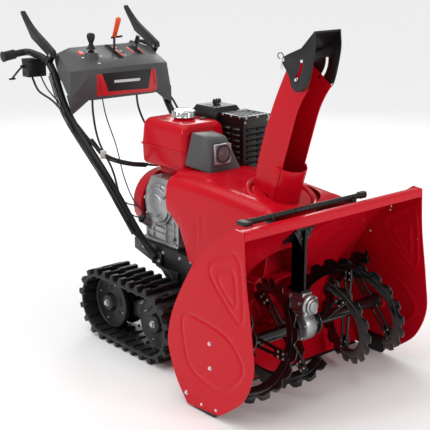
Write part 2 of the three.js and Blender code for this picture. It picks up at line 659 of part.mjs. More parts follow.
function trackFrame() {
  const beam = (side) => {
    const x0 = side > 0 ? 204 : -238;
    return join(
      box(x0, x0 + 34, 732, 800, 112, 168),
      box(side > 0 ? 152 : -240, side > 0 ? 240 : -152, 742, 790, 118, 162),
    );
  };
  const arms = [-1, 1].map((side) => {
    const x = side * 158;
    const outline = [
      [594, 128], [600, 166], [640, 172], [880, 166], [936, 154], [936, 126], [880, 112], [640, 108],
    ];
    return acrossX(outline, x - 4, x + 4);
  });
  const axles = [-1, 1].map((side) => {
    const ends = [side * 154, side * 278];
    return rodX(Math.min(...ends), Math.max(...ends), TRACK.y2, TRACK.z, 13, 14);
  });
  const crossTube = rodX(-158, 158, 820, TRACK.z, 17, 16);
  const body = join(...arms, ...axles, crossTube, beam(-1), beam(1));
  return cut(body, rodX(-200, 200, TRACK.y1, TRACK.z, 13 + 2 * GAP, 14));
}

// ---------------------------------------------------------------- handlebars, console and controls

const handlebarRoute = [
  point(155, 772, 330), point(160, 790, 352), point(186, 835, 420), point(218, 985, 612),
  point(240, 1195, 815), point(246, 1284, 968), point(250, 1332, 1018), point(250, 1420, 1034),
  point(258, 1468, 1038), point(300, 1480, 1033),
];

function handlebar() {
  const tube = sweep(handlebarRoute, BAR, 8, 62);
  const foot = box(142, 150, 740, 800, 300, 352);
  const footPin = rodX(148, 158, 776, 334, 12, 12);
  return join(tube, foot, footPin);
}

const grip = () => {
  const sleeve = rod(point(305, 1480.4, 1032.4), point(355, 1482, 1025), 19, 14);
  return join(sleeve, rod(point(352, 1481.9, 1025.4), point(360, 1482.2, 1024.3), 21, 14));
};

const SPEED = { x: 22, pivotY: 1266, pivotZ: 915 };
const CHOKE = { x: 130, pivotY: 1268, pivotZ: 935 };
const STICK = { x: -99, y: 1243, z: 1040, ball: 15 }; // the ball's centre and radius
const leverSlot = (x, y0, y1) => box(x - 8, x + 8, y0, y1, 960, 1100);

function consoleShell() {
  const half = (side) => {
    const p = (x, y, z) => point(side * x, y, z);
    return [
      p(149, 1176, 868), p(150, 1158, 972), p(150, 1152, 992), p(232, 1190, 985), p(252, 1258, 990),
      p(236, 1316, 1020), p(150, 1322, 1060), p(222, 1300, 1044), p(243, 1178, 880), p(150, 1300, 940),
      p(226, 1290, 950),
    ];
  };
  const body = wrap(...half(1), ...half(-1));
  const wing = (side) =>
    wrap(
      ...[point(side * 243, 1174, 820), point(side * 236, 1204, 826), point(side * 200, 1176, 845)],
      ...[point(side * 150, 1172, 880), point(side * 243, 1176, 890), point(side * 240, 1230, 895)],
      ...[point(side * 150, 1225, 900)],
    );
  const cavity = wrap(
    ...[-1, 1].flatMap((side) => [
      point(side * 138, 1186, 850), point(side * 138, 1176, 976), point(side * 214, 1240, 982),
      point(side * 214, 1300, 1000), point(side * 138, 1296, 1034), point(side * 214, 1300, 850),
    ]),
  );
  const barRoom = (side) =>
    wrap(
      ...[222, 300].flatMap((x) => [
        point(side * x, 1155, 780), point(side * x, 1400, 780),
        point(side * x, 1272, 992), point(side * x, 1400, 992), point(side * x, 1290, 1060),
        point(side * x, 1400, 1060),
      ]),
    );
  const slots = [leverSlot(SPEED.x, 1216, 1314), leverSlot(CHOKE.x, 1236, 1292)];
  const shell = cut(join(body, wing(1), wing(-1)), cavity, barRoom(1), barRoom(-1), ...slots);
  const stickAt = (height) => point(STICK.x, STICK.y, STICK.z + height);
  const stickRing = rod(stickAt(-25), stickAt(4), 31, 20, 24);
  return cut(join(shell, stickRing), rod(stickAt(-60), stickAt(20), STICK.ball + 1, 18));
}

function speedLever() {
  const pivot = point(SPEED.x, SPEED.pivotY, SPEED.pivotZ);
  const neckTop = point(SPEED.x, 1258, 1096);
  const arm = rod(pivot, neckTop, 5, 10);
  const knob = rod(neckTop, point(SPEED.x, 1223, 1174), 9, 12, 11);
  return join(arm, knob, rodX(SPEED.x - 12, SPEED.x + 12, SPEED.pivotY, SPEED.pivotZ, 10, 14));
}

function chokeLever() {
  const pivot = point(CHOKE.x, CHOKE.pivotY, CHOKE.pivotZ);
  const arm = rod(pivot, point(CHOKE.x, 1256, 1070), 4.5, 10);
  const knob = rod(point(CHOKE.x, 1257, 1066), point(CHOKE.x, 1246, 1094), 10, 12, 8);
  return join(arm, knob, rodX(CHOKE.x - 8, CHOKE.x + 8, CHOKE.pivotY, CHOKE.pivotZ, 9, 14));
}

// A bored ball that swings in the console's ring and carries the stick.
const joystickGimbal = () => {
  const ball = new THREE.SphereGeometry(STICK.ball, 18, 12).rotateX(Math.PI / 2);
  const bore = rodZ(STICK.z - 30, STICK.z + 30, STICK.x, STICK.y, 8, 14);
  return cut(solid(ball.translate(STICK.x, STICK.y, STICK.z)), bore);
};

function joystick() {
  const along = (height) => point(STICK.x, STICK.y, STICK.z + height);
  const stem = rod(along(-2), along(20), 3.5, 10);
  const boot = rod(along(STICK.ball + 1), along(36), 13, 14, 7);
  const egg = new THREE.SphereGeometry(15.5, 14, 9).rotateX(Math.PI / 2).scale(1, 1, 1.7);
  return join(stem, boot, solid(egg.translate(STICK.x, STICK.y, STICK.z + 49)));
}

function controlHousing() {
  return cut(
    join(box(212, 292, 1400, 1450, 946, 1004), box(226, 290, 1404, 1456, 1000, 1016)),
    sweep(handlebarRoute, BAR + 1.5, 8, 62),
  );
}

function clutchLever() {
  const { x, y, z } = LEVER_PIVOT;
  const outline = [
    [y - 14, z - 4], [y + 10, z - 12], [1424, 1094],
    [1502, 1190], [1494, 1200], [1416, 1118], [y + 6, z + 18],
  ];
  const paddle = acrossX(outline, x - 9, x + 9);
  return cut(paddle, rodX(x - 30, x + 30, y, z, 5 + GAP, 12));
}

const leverPivot = () => {
  const { x, y, z } = LEVER_PIVOT;
  const pin = rodX(x - 14, x + 14, y, z, 5, 12);
  const forks = [-12, 12].map((dx) => {
    const outline = [[y - 9, z + 8], [y + 9, z + 8], [y + 44, z - 20], [y + 30, z - 42]];
    return acrossX(outline, x + dx - 2, x + dx + 2);
  });
  return join(pin, ...forks);
};

const TRIGGER = { x: 300, y: 1436, z: 986 };

function steeringTrigger() {
  const { x, y, z } = TRIGGER;
  const blade = sweep([point(x, y, z), point(x + 20, y - 4, z - 14), point(352, 1424, 946)], 4, 8, 14);
  return join(blade, rodX(x - 6, x + 5, y, z, 7, 10), rodX(340, 366, 1423, 944, 4, 8));
}

// ---------------------------------------------------------------- control cables

const cableRoutes = {
  clutch_cable_right: [
    point(-262, 1425, 940), point(-268, 1370, 895), point(-266, 1275, 868), point(-266, 1200, 830),
    point(-262, 1115, 745), point(-250, 985, 632), point(-240, 890, 520), point(-212, 828, 425),
    point(-178, 778, 374),
  ],
  clutch_cable_left: [
    point(262, 1425, 940), point(268, 1370, 895), point(266, 1275, 868), point(266, 1200, 830),
    point(262, 1115, 745), point(250, 985, 632), point(240, 890, 520), point(212, 828, 425),
    point(178, 778, 374),
  ],
  cable_loom: [
    point(-216, 1090, 735), point(-202, 1040, 690), point(-176, 1000, 668), point(-120, 965, 650),
    point(-60, 945, 640), point(-20, 925, 634),
  ],
  shift_cable: [
    point(-96, 1250, 900), point(-104, 1236, 800), point(-112, 1190, 700), point(-124, 1080, 600),
    point(-150, 985, 480), point(-140, 930, 380),
  ],
  throttle_cable: [
    point(120, 1255, 895), point(116, 1230, 800), point(104, 1140, 720), point(90, 1010, 676),
    point(80, 950, 652),
  ],
};

// ---------------------------------------------------------------- assembly

const machine = new THREE.Group();
machine.position.y = -ORIGIN_BACK;

function add(name, body, material, parent = machine) {
  const mesh = new THREE.Mesh(geometryOf(body), material);
  mesh.name = name;
  parent.add(mesh);
}

function addPair(name, body, material) {
  for (const [side, word] of [[-1, "right"], [1, "left"]])
    add(`${name}_${word}`, onSide(side, body), material);
}

addPair("side_plate", sidePlate(), redPaint);
add("auger_housing", augerHousing(), redPaint);
add("scraper_blade", scraperBlade(), blackPaint);
addPair("skid_shoe", skidShoe(), blackPaint);
add("blower_housing", blowerHousing(), redPaint);
add("gearbox_brace", gearboxBrace(), blackPaint);
add("clean_out_stick", cleanOutStick(), blackPlastic);

add("auger_shaft", augerShaft(), steel);
add("auger_right", onSide(-1, augerHalf(AUGER_PHASE.right)), blackPaint);
add("auger_left", augerHalf(AUGER_PHASE.left), blackPaint);
add("gearbox", gearbox(), castAlloy);
add("impeller_shaft", impellerShaft(), steel);
add("impeller", impeller(), redPaint);

add("impeller_pulley", pulley(FAN.z, PULLEY.big, FAN.shaft), steel);
add("engine_pulley", pulley(CRANK_Z, PULLEY.small, 12), steel);
add("drive_belt", driveBelt(), rubber);
add("belt_cover", beltCover(), redPaint);
add("headlight_housing", headlightHousing(), greyPlastic);
add("headlight_lens", headlightLens(), clearPlastic);

const chuteFrame = new THREE.Group();
chuteFrame.position.set(0, CHUTE.y, CHUTE.z);
chuteFrame.rotation.x = CHUTE.lean;
machine.add(chuteFrame);
add("chute", chute(), redPaint, chuteFrame);
add("deflector", deflector(), blackPaint, chuteFrame);

add("crankcase", crankcase(), castAlloy);
add("cylinder_head", cylinderHead(), castAlloy);
add("fuel_tank", fuelTank(), redPaint);
add("fuel_cap", fuelCap(), steel);
add("air_cleaner", airCleaner(), blackPlastic);
add("muffler", muffler(), blackPaint);
add("recoil_cover", recoilCover(), redPaint);
add("recoil_handle", recoilHandle(), blackPlastic);

add("main_frame", mainFrame(), blackPaint);
add("transmission", transmission(), blackPaint);
add("track_frame", trackFrame(), blackPaint);
addPair("track_belt", trackBelt(), rubber);
addPair("drive_wheel", wheel(TRACK.y1), blackPlastic);
addPair("idler_wheel", wheel(TRACK.y2), blackPlastic);

addPair("handlebar", join(handlebar(), leverPivot()), blackPaint);
addPair("grip", grip(), rubber);
add("console", consoleShell(), greyPlastic);
add("speed_lever", speedLever(), orangePlastic);
add("choke_lever", chokeLever(), blackPlastic);
add("joystick_gimbal", joystickGimbal(), blackPlastic);
add("joystick", joystick(), blackPlastic);
addPair("control_housing", controlHousing(), blackPlastic);
addPair("clutch_lever", clutchLever(), blackPlastic);
addPair("steering_trigger", steeringTrigger(), blackPlastic);

for (const [name, route] of Object.entries(cableRoutes)) add(name, sweep(route, 4.5, 6, 46), rubber);

export default machine;
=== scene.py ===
# Looks of the two-stage snowblower on tracks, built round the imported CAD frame.
# Lengths are written in millimetres as in the part's source: x to the operator's left,
# y backwards from the housing's front edge, z up. place() turns them into the frame's metres.
import bpy
import bmesh
import json
from math import ceil, cos, hypot, pi, radians, sin, tau
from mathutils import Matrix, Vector


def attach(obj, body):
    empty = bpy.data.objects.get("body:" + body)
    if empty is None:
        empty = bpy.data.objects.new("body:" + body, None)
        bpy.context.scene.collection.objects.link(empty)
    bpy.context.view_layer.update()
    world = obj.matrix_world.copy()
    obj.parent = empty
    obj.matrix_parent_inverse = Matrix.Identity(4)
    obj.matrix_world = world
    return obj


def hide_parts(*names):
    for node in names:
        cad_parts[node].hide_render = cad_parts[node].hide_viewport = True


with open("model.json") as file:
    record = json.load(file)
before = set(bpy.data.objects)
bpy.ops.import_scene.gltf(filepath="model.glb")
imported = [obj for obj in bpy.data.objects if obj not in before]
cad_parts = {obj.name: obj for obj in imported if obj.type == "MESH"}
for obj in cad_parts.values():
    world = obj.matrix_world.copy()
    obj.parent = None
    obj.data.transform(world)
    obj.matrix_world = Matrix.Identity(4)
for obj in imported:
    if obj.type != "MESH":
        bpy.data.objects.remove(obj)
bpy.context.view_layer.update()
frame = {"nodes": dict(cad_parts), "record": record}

ORIGIN_BACK = 723
BODY_OF = {}
for body_name, members in frame["record"]["behaviour"]["bodies"].items():
    for member in members:
        BODY_OF[member] = body_name


def place(p):
    return Vector((p[0] / 1000, (p[1] - ORIGIN_BACK) / 1000, p[2] / 1000))


# ------------------------------------------------------------------ materials

DUST_HEIGHT = 0.30  # metres above the floor where the dust has thinned out
DUST_COLOR = (0.16, 0.15, 0.14, 1)


def set_inputs(node, **values):
    """Sets inputs by name, with an underscore for each space."""
    for name, value in values.items():
        node.inputs[name.replace("_", " ")].default_value = value


def material(name, color, roughness, metallic=0.0, coat=0.0, vary=0.08, vary_scale=9.0,
             grain=0.0, grain_scale=400.0, rough_vary=0.08, dust=0.0, shine=0.5):
    """A procedural finish: slow colour and gloss variation, a fine grain, and dust that gathers low down."""
    mat = bpy.data.materials.new(name)
    mat.use_nodes = True
    nodes, links = mat.node_tree.nodes, mat.node_tree.links
    shader = nodes["Principled BSDF"]
    set_inputs(shader, Metallic=metallic, Coat_Weight=coat, Specular_IOR_Level=shine, Coat_Roughness=0.06)
    where = nodes.new("ShaderNodeTexCoord")

    def noise(scale, detail):
        node = nodes.new("ShaderNodeTexNoise")
        set_inputs(node, Scale=scale, Detail=detail)
        links.new(where.outputs["Object"], node.inputs["Vector"])
        return node.outputs["Fac"]

    slow = noise(vary_scale, 4)
    tint = nodes.new("ShaderNodeMix")
    tint.data_type = "RGBA"
    tint.inputs["A"].default_value = (*[c * (1 - vary) for c in color], 1)
    tint.inputs["B"].default_value = (*[min(1, c * (1 + vary)) for c in color], 1)
    links.new(slow, tint.inputs["Factor"])
    result = tint.outputs["Result"]
    if dust:
        split = nodes.new("ShaderNodeSeparateXYZ")
        links.new(where.outputs["Object"], split.inputs[0])
        low = nodes.new("ShaderNodeMapRange")
        set_inputs(low, From_Min=DUST_HEIGHT, From_Max=0.0, To_Max=dust)
        links.new(split.outputs["Z"], low.inputs["Value"])
        patches = nodes.new("ShaderNodeMath")
        patches.operation = "MULTIPLY"
        links.new(low.outputs[0], patches.inputs[0])
        links.new(slow, patches.inputs[1])
        film = nodes.new("ShaderNodeMix")
        film.data_type = "RGBA"
        film.inputs["B"].default_value = DUST_COLOR
        links.new(patches.outputs[0], film.inputs["Factor"])
        links.new(result, film.inputs["A"])
        result = film.outputs["Result"]
    links.new(result, shader.inputs["Base Color"])
    gloss = nodes.new("ShaderNodeMapRange")
    set_inputs(gloss, To_Min=max(0.02, roughness - rough_vary), To_Max=min(1, roughness + rough_vary))
    links.new(slow, gloss.inputs["Value"])
    links.new(gloss.outputs[0], shader.inputs["Roughness"])
    if grain:
        bump = nodes.new("ShaderNodeBump")
        set_inputs(bump, Strength=grain, Distance=0.001)
        links.new(noise(grain_scale, 3), bump.inputs["Height"])
        links.new(bump.outputs["Normal"], shader.inputs["Normal"])
    return mat


red = material("red_gloss_paint", (0.53, 0.0030, 0.013), 0.22, coat=0.08, vary=0.05, grain=0.03,
               grain_scale=180, shine=0.15)
# A darker copy of the red paint: painted shade inside the blower housing, and also the printed stripes on the
# console.
dark_red = material("red_painted_shade_and_print", (0.42, 0.003, 0.011), 0.34, coat=0.1, vary=0.10, grain=0.05,
                    grain_scale=180, shine=0.26)
black_gloss = material("black_gloss_paint", (0.004, 0.004, 0.0045), 0.16, coat=0.3, vary=0.2,
                       grain=0.05, dust=0.05)
black_satin = material("black_satin_paint", (0.006, 0.006, 0.0065), 0.36, vary=0.2, grain=0.12,
                       grain_scale=600, shine=0.4)
black_plastic = material("black_plastic", (0.008, 0.008, 0.0085), 0.44, vary=0.15, grain=0.22,
                         grain_scale=900, shine=0.4)
worn_black = material("worn_black_paint", (0.008, 0.008, 0.008), 0.40, vary=0.35, vary_scale=30, grain=0.15,
                      dust=0.08, shine=0.4)
grey_plastic = material("grey_plastic", (0.070, 0.071, 0.074), 0.46, vary=0.07, grain=0.22, grain_scale=900,
                        shine=0.35)
cast = material("cast_alloy", (0.40, 0.405, 0.41), 0.36, metallic=0.9, vary=0.2, vary_scale=26,
                grain=0.5, grain_scale=420, rough_vary=0.12)
steel = material("bright_steel", (0.60, 0.61, 0.62), 0.24, metallic=1.0, vary=0.10, vary_scale=40, grain=0.06)
chrome = material("chrome", (0.74, 0.75, 0.76), 0.10, metallic=1.0, vary=0.04, rough_vary=0.05, grain=0.03)
zinc = material("zinc_plate", (0.52, 0.52, 0.50), 0.32, metallic=1.0, vary=0.15, vary_scale=60, grain=0.2)
rubber = material("black_rubber", (0.006, 0.006, 0.006), 0.46, vary=0.3, vary_scale=20, grain=0.35,
                  grain_scale=500, dust=0.10, shine=0.35)
grip_rubber = material("grip_rubber", (0.014, 0.014, 0.014), 0.66, vary=0.15, grain=0.3, grain_scale=700)
orange = material("orange_plastic", (0.82, 0.075, 0.012), 0.36, vary=0.06, grain=0.08)
white_mark = material("white_print", (0.72, 0.72, 0.72), 0.5, vary=0.06, grain=0.05)
connector_white = material("white_nylon", (0.62, 0.61, 0.57), 0.45, vary=0.1, grain=0.1)
red_print = material("red_print", (0.62, 0.010, 0.018), 0.4, vary=0.06, grain=0.05)
reflector = material("reflector", (0.52, 0.47, 0.52), 0.24, metallic=0.55, vary=0.3, vary_scale=150,
                     grain=0.6, grain_scale=160)


def lens_material():
    mat = material("clear_lens", (0.93, 0.91, 0.93), 0.08, vary=0.02, grain=0.15, grain_scale=220)
    shader = mat.node_tree.nodes["Principled BSDF"]
    set_inputs(shader, Transmission_Weight=0.92, IOR=1.3)
    return mat


lens_clear = lens_material()


# ------------------------------------------------------------------ building meshes


LEFT, BACK, UP = (1, 0, 0), (0, 1, 0), (0, 0, 1)  # the directions of x, y and z
RIGHT, FRONT = (-1, 0, 0), (0, -1, 0)
BOX_FACES = [[0, 1, 2, 3], [7, 6, 5, 4], [0, 4, 5, 1], [1, 5, 6, 2], [2, 6, 7, 3], [3, 7, 4, 0]]
SIDES = (("right", -1), ("left", 1))


def around(count, start=0.0):
    """Angles spread evenly over a full turn."""
    return [tau * k / count + start for k in range(count)]


def round_x(x, y, z, radius, angle):
    """The point at a radius and an angle round the line through (y, z) that runs along x."""
    return (x, y + radius * cos(angle), z + radius * sin(angle))


def round_y(x, y, z, radius, angle):
    """The point at a radius and an angle round the line through (x, z) that runs along y."""
    return (x + radius * cos(angle), y, z + radius * sin(angle))


def sideways(ahead):
    """A unit vector square to ahead."""
    other = Vector((0, 0, 1)) if abs(ahead.z) < 0.9 else Vector((1, 0, 0))
    return ahead.cross(other).normalized()


def prism_faces(count):
    """The faces between two outlines of count points each, and the two outlines themselves."""
    ends = [list(range(count))[::-1], [count + i for i in range(count)]]
    return ends + [[i, (i + 1) % count, count + (i + 1) % count, count + i] for i in range(count)]


class Build:
    """Collects faces in millimetres; material numbers follow the list given to piece()."""

    def __init__(self):
        self.points, self.faces, self.material_of = [], [], []

    def add(self, points, faces, mat=0):
        start = len(self.points)
        self.points += [Vector(p) for p in points]
        self.faces += [[start + i for i in face] for face in faces]
        self.material_of += [mat] * len(faces)
        return self

    def grid(self, rows, mat=0, close_rows=False, close_columns=False, caps=False):
        """A sheet of quads over rows of points, each row as long as the others."""
        count, width = len(rows), len(rows[0])
        faces = []
        for i in range(count if close_rows else count - 1):
            for j in range(width if close_columns else width - 1):
                a, b = i * width, ((i + 1) % count) * width
                k = (j + 1) % width
                faces.append([a + j, a + k, b + k, b + j])
        if caps:
            faces.append(list(range(width))[::-1])
            faces.append([(count - 1) * width + j for j in range(width)])
        return self.add([p for row in rows for p in row], faces, mat)

    def tube(self, path, radius, sides=12, mat=0, squash=1.0):
        """A round tube along a line of points; radius may be one number or one for each point."""
        path = [Vector(p) for p in path]
        radii = radius if isinstance(radius, (list, tuple)) else [radius] * len(path)
        rows, side = [], None
        for i, p in enumerate(path):
            ahead = (path[min(i + 1, len(path) - 1)] - path[max(i - 1, 0)]).normalized()
            if side is None:
                side = sideways(ahead)
            side = (side - ahead * side.dot(ahead)).normalized()
            up = ahead.cross(side)
            rows.append([p + side * radii[i] * cos(t) + up * radii[i] * squash * sin(t)
                         for t in around(sides)])
        return self.grid(rows, mat, close_columns=True, caps=True)

    def lathe(self, profile, origin, axis, sides=32, mat=0):
        """A turned body from (radius, distance along the axis); one that never meets the axis is a ring."""
        axis = Vector(axis).normalized()
        side = sideways(axis)
        up = axis.cross(side)
        origin = Vector(origin)
        rows = []
        for radius, along in profile:
            rows.append([origin + axis * along + (side * cos(t) + up * sin(t)) * max(radius, 0.001)
                         for t in around(sides)])
        ring = min(profile[0][0], profile[-1][0]) > 1
        return self.grid(rows, mat, close_rows=ring, close_columns=True, caps=not ring)

    def block(self, x0, x1, y0, y1, z0, z1, mat=0):
        corners = [(x, y, z) for x in (x0, x1) for y in (y0, y1) for z in (z0, z1)]
        sides = [[0, 1, 3, 2], [4, 6, 7, 5], [0, 4, 5, 1], [2, 3, 7, 6], [0, 2, 6, 4], [1, 5, 7, 3]]
        return self.add(corners, sides, mat)

    def prism(self, outline, normal, a, b, mat=0):
        """An outline of two coordinates made thick along the axis named by normal."""
        order = {"x": (2, 0, 1), "y": (0, 2, 1), "z": (0, 1, 2)}[normal]
        corners = [(u, v, w) for w in (a, b) for u, v in outline]
        return self.add([[c[i] for i in order] for c in corners], prism_faces(len(outline)), mat)

    def bolt(self, origin, axis, size=8, mat=0, washer=True):
        """A flanged hexagon head that stands on origin along axis."""
        flange = [(0, 0), (size * 1.25, 0), (size * 1.2, size * 0.18), (0, size * 0.18)]
        head = [(0, 0), (size, 0), (size, size * 0.62), (size * 0.82, size * 0.78), (0, size * 0.78)]
        if washer:
            self.lathe(flange, origin, axis, 20, mat)
        return self.lathe(head, origin, axis, 6, mat)


def mesh_of(name, build):
    mesh = bpy.data.meshes.new(name)
    mesh.from_pydata([place(p) for p in build.points], [], build.faces)
    return mesh


def linked(name, mesh):
    """An object in the scene that shows mesh."""
    obj = bpy.data.objects.new(name, mesh)
    bpy.context.scene.collection.objects.link(obj)
    return obj


def clean(mesh, weld=0.0, flatten=False):
    """Turns the faces outwards, after joining points nearer than weld and merging flat neighbours."""
    shape = bmesh.new()
    shape.from_mesh(mesh)
    if weld:
        bmesh.ops.remove_doubles(shape, verts=shape.verts, dist=weld)
    if flatten:
        bmesh.ops.dissolve_limit(shape, angle_limit=radians(0.6), verts=shape.verts, edges=shape.edges)
    bmesh.ops.recalc_face_normals(shape, faces=shape.faces)
    shape.to_mesh(mesh)
    shape.free()


def apply_modifiers(obj):
    depsgraph = bpy.context.evaluated_depsgraph_get()
    mesh = bpy.data.meshes.new_from_object(obj.evaluated_get(depsgraph))
    obj.modifiers.clear()
    obj.data = mesh


def smooth(obj, angle=38):
    obj.data.polygons.foreach_set("use_smooth", [True] * len(obj.data.polygons))
    obj.data.set_sharp_from_angle(angle=radians(angle))


def thicken(obj, wall, offset, even=False):
    """Gives a sheet a wall in millimetres, inwards or outwards by the sign of offset."""
    shell = obj.modifiers.new("wall", "SOLIDIFY")
    shell.thickness = wall / 1000
    shell.offset = offset
    shell.use_even_offset = even
    apply_modifiers(obj)


def soften(obj, width, segments=2, angle=30):
    bevel = obj.modifiers.new("edge", "BEVEL")
    bevel.width = width / 1000
    bevel.segments = segments
    bevel.limit_method = "ANGLE"
    bevel.angle_limit = radians(angle)
    bevel.use_clamp_overlap = True
    apply_modifiers(obj)


def settle(obj, materials, body, stands_for=()):
    obj.data.materials.clear()
    for mat in materials:
        obj.data.materials.append(mat)
    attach(obj, body)
    if stands_for:
        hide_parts(*stands_for)
    return obj


def piece(name, build, materials, body="machine", stands_for=(), edge=0, segments=2, angle=38, cutters=()):
    materials = materials if isinstance(materials, (list, tuple)) else [materials]
    mesh = mesh_of(name, build)
    mesh.polygons.foreach_set("material_index", build.material_of)
    clean(mesh, weld=2e-6)
    obj = linked(name, mesh)
    for cutter in cutters:
        carve(obj, cutter)
    if edge:
        soften(obj, edge, segments)
    smooth(obj, angle)
    return settle(obj, materials, body, stands_for)


def carve(obj, cutter_build):
    """Cuts one closed build out of obj."""
    mesh = mesh_of("cutter", cutter_build)
    clean(mesh)
    cutter = linked("cutter", mesh)
    boolean = obj.modifiers.new("cut", "BOOLEAN")
    boolean.operation = "DIFFERENCE"
    boolean.solver = "EXACT"
    boolean.object = cutter
    apply_modifiers(obj)
    bpy.data.objects.remove(cutter)


def refined(node, mat, edge=2.0, segments=2, angle=38):
    """A CAD solid with rounded edges and smooth shading, in place of the faceted one."""
    mesh = frame["nodes"][node].data.copy()
    clean(mesh, weld=1e-6, flatten=True)
    for layer in list(mesh.color_attributes):
        mesh.color_attributes.remove(layer)
    obj = linked(node + "_finished", mesh)
    if edge:
        soften(obj, edge, segments)
    smooth(obj, angle)
    return settle(obj, [mat], BODY_OF[node], (node,))


def spline(points, count):
    """Points spread evenly along a smooth line through the given ones."""
    pts = [Vector(p) for p in points]
    pts = [pts[0] * 2 - pts[1]] + pts + [pts[-1] * 2 - pts[-2]]
    line = []
    spans = len(pts) - 3
    for i in range(count):
        t = i / (count - 1) * spans
        k = min(int(t), spans - 1)
        f = t - k
        a, b, c, d = pts[k:k + 4]
        line.append(0.5 * ((2 * b) + (c - a) * f + (2 * a - 5 * b + 4 * c - d) * f * f
                           + (3 * b - a - 3 * c + d) * f ** 3))
    return line


def mirrored(points):
    """The same points on the machine's other side."""
    return [(-x, y, z) for x, y, z in points]


def spline2(points, count):
    return [(p.x, p.y) for p in spline([(u, v, 0) for u, v in points], count)]


def offset_line(points, distance):
    moved = []
    for i, (u, v) in enumerate(points):
        u0, v0 = points[max(i - 1, 0)]
        u1, v1 = points[min(i + 1, len(points) - 1)]
        length = hypot(u1 - u0, v1 - v0)
        moved.append((u - (v1 - v0) / length * distance, v + (u1 - u0) / length * distance))
    return moved


def distance_to_line(p, line):
    """Shortest distance from p to an open line of points."""
    best = 1e9
    for (ax, ay), (bx, by) in zip(line, line[1:]):
        dx, dy = bx - ax, by - ay
        t = max(0, min(1, ((p[0] - ax) * dx + (p[1] - ay) * dy) / (dx * dx + dy * dy)))
        best = min(best, hypot(p[0] - ax - t * dx, p[1] - ay - t * dy))
    return best


# ------------------------------------------------------------------ auger housing

HOUSING_HALF = 412
PLATE = 4
AUGER_Y, AUGER_Z, AUGER_RADIUS = 148, 210, 190
FAN_Z = 290
rear_edge = spline2([(31, 655), (95, 611), (177, 550), (236, 485), (327, 332), (361, 226),
                     (356, 161), (319, 77), (262, 5)], 72)
front_edge = spline2([(66, 44), (-12, 112), (-55, 215), (-46, 326), (-17, 509), (-7, 652)], 40)
plate_outline = [(103, 20)] + front_edge + rear_edge


def closed_line(corners, rounding=0.3, steps=5):
    """A closed loop of straight runs with rounded corners."""
    loop = []
    count = len(corners)
    for i, (bu, bv) in enumerate(corners):
        au, av = corners[i - 1]
        cu, cv = corners[(i + 1) % count]
        start = (bu + (au - bu) * rounding, bv + (av - bv) * rounding)
        end = (bu + (cu - bu) * rounding, bv + (cv - bv) * rounding)
        for k in range(steps + 1):
            t = k / steps
            loop.append((start[0] * (1 - t) ** 2 + 2 * bu * t * (1 - t) + end[0] * t * t,
                         start[1] * (1 - t) ** 2 + 2 * bv * t * (1 - t) + end[1] * t * t))
    return loop + loop[:1]


plate_ribs = [
    closed_line([(176, 500), (10, 596), (-14, 330)]),
    closed_line([(122, 482), (34, 530), (22, 392)]),
    closed_line([(300, 330), (60, 306), (-26, 210), (90, 96), (262, 130)], 0.35),
]


def evenly(points, step):
    """The same closed outline with points no further apart than step."""
    finer = []
    for (u0, v0), (u1, v1) in zip(points, points[1:] + points[:1]):
        parts = max(1, ceil(hypot(u1 - u0, v1 - v0) / step))
        finer += [(u0 + (u1 - u0) * k / parts, v0 + (v1 - v0) * k / parts) for k in range(parts)]
    return finer


def rib_height(y, z):
    near = min(distance_to_line((y, z), rib) for rib in plate_ribs)
    return 3.0 * max(0.0, 1 - (near / 10.0) ** 2) ** 1.5


def side_plate(word, side):
    """A stamped plate: rings of points from its middle out to its edge, pressed inwards along the ribs."""
    middle = (150, 320)
    ring_count = 64
    corners = evenly(plate_outline, 9)
    outer_rows, inner_rows = [], []
    for i in range(ring_count + 1):
        t = max(i / ring_count, 0.001)
        row = [(middle[0] + (u - middle[0]) * t, middle[1] + (v - middle[1]) * t) for u, v in corners]
        fade = 1.0 if i < ring_count - 1 else 0.0
        outer_rows.append([(side * (HOUSING_HALF - rib_height(u, v) * fade), u, v) for u, v in row])
        inner_rows.append([(side * (HOUSING_HALF - PLATE - rib_height(u, v) * fade), u, v) for u, v in row])
    build = Build()
    build.grid(outer_rows + inner_rows[::-1], close_columns=True, caps=True)
    cup = [(0, 0), (34, 0), (34, 20), (28, 24), (16, 24), (14, 0)]
    build.lathe(cup, (side * (HOUSING_HALF - PLATE), AUGER_Y, AUGER_Z), (-side, 0, 0), 28)
    piece("side_plate_" + word + "_sheet", build, red, stands_for=("side_plate_" + word,), angle=35)
    bolts = Build()
    for y, z, size in [(149, 252, 8), (147, 169, 8), (267, 42, 9)]:
        bolts.bolt((side * (HOUSING_HALF - 0.5), y, z), (side, 0, 0), size * 0.72)
    piece("side_plate_" + word + "_bolts", bolts, chrome, edge=0.6)
    rivets = Build()
    for y, z in [(129, 549), (216, 452), (125, 563), (-2, 470)]:
        rivets.lathe([(0, 0), (5.5, 0), (4.6, 2), (2.5, 3.2), (0, 3.5)],
                     (side * (HOUSING_HALF - PLATE + 0.4), y, z), (-side, 0, 0), 12)
    piece("side_plate_" + word + "_rivets", rivets, zinc)
    slots = Build()
    for y, z in [(190, 28), (118, 34)]:
        spot = (side * (HOUSING_HALF - 0.3), y, z)
        slots.lathe([(0, 0), (5, 0), (5, 0.8), (0, 0.8)], spot, (side, 0, 0), 14)
    piece("side_plate_" + word + "_slots", slots, white_mark)


for word, side in SIDES:
    side_plate(word, side)


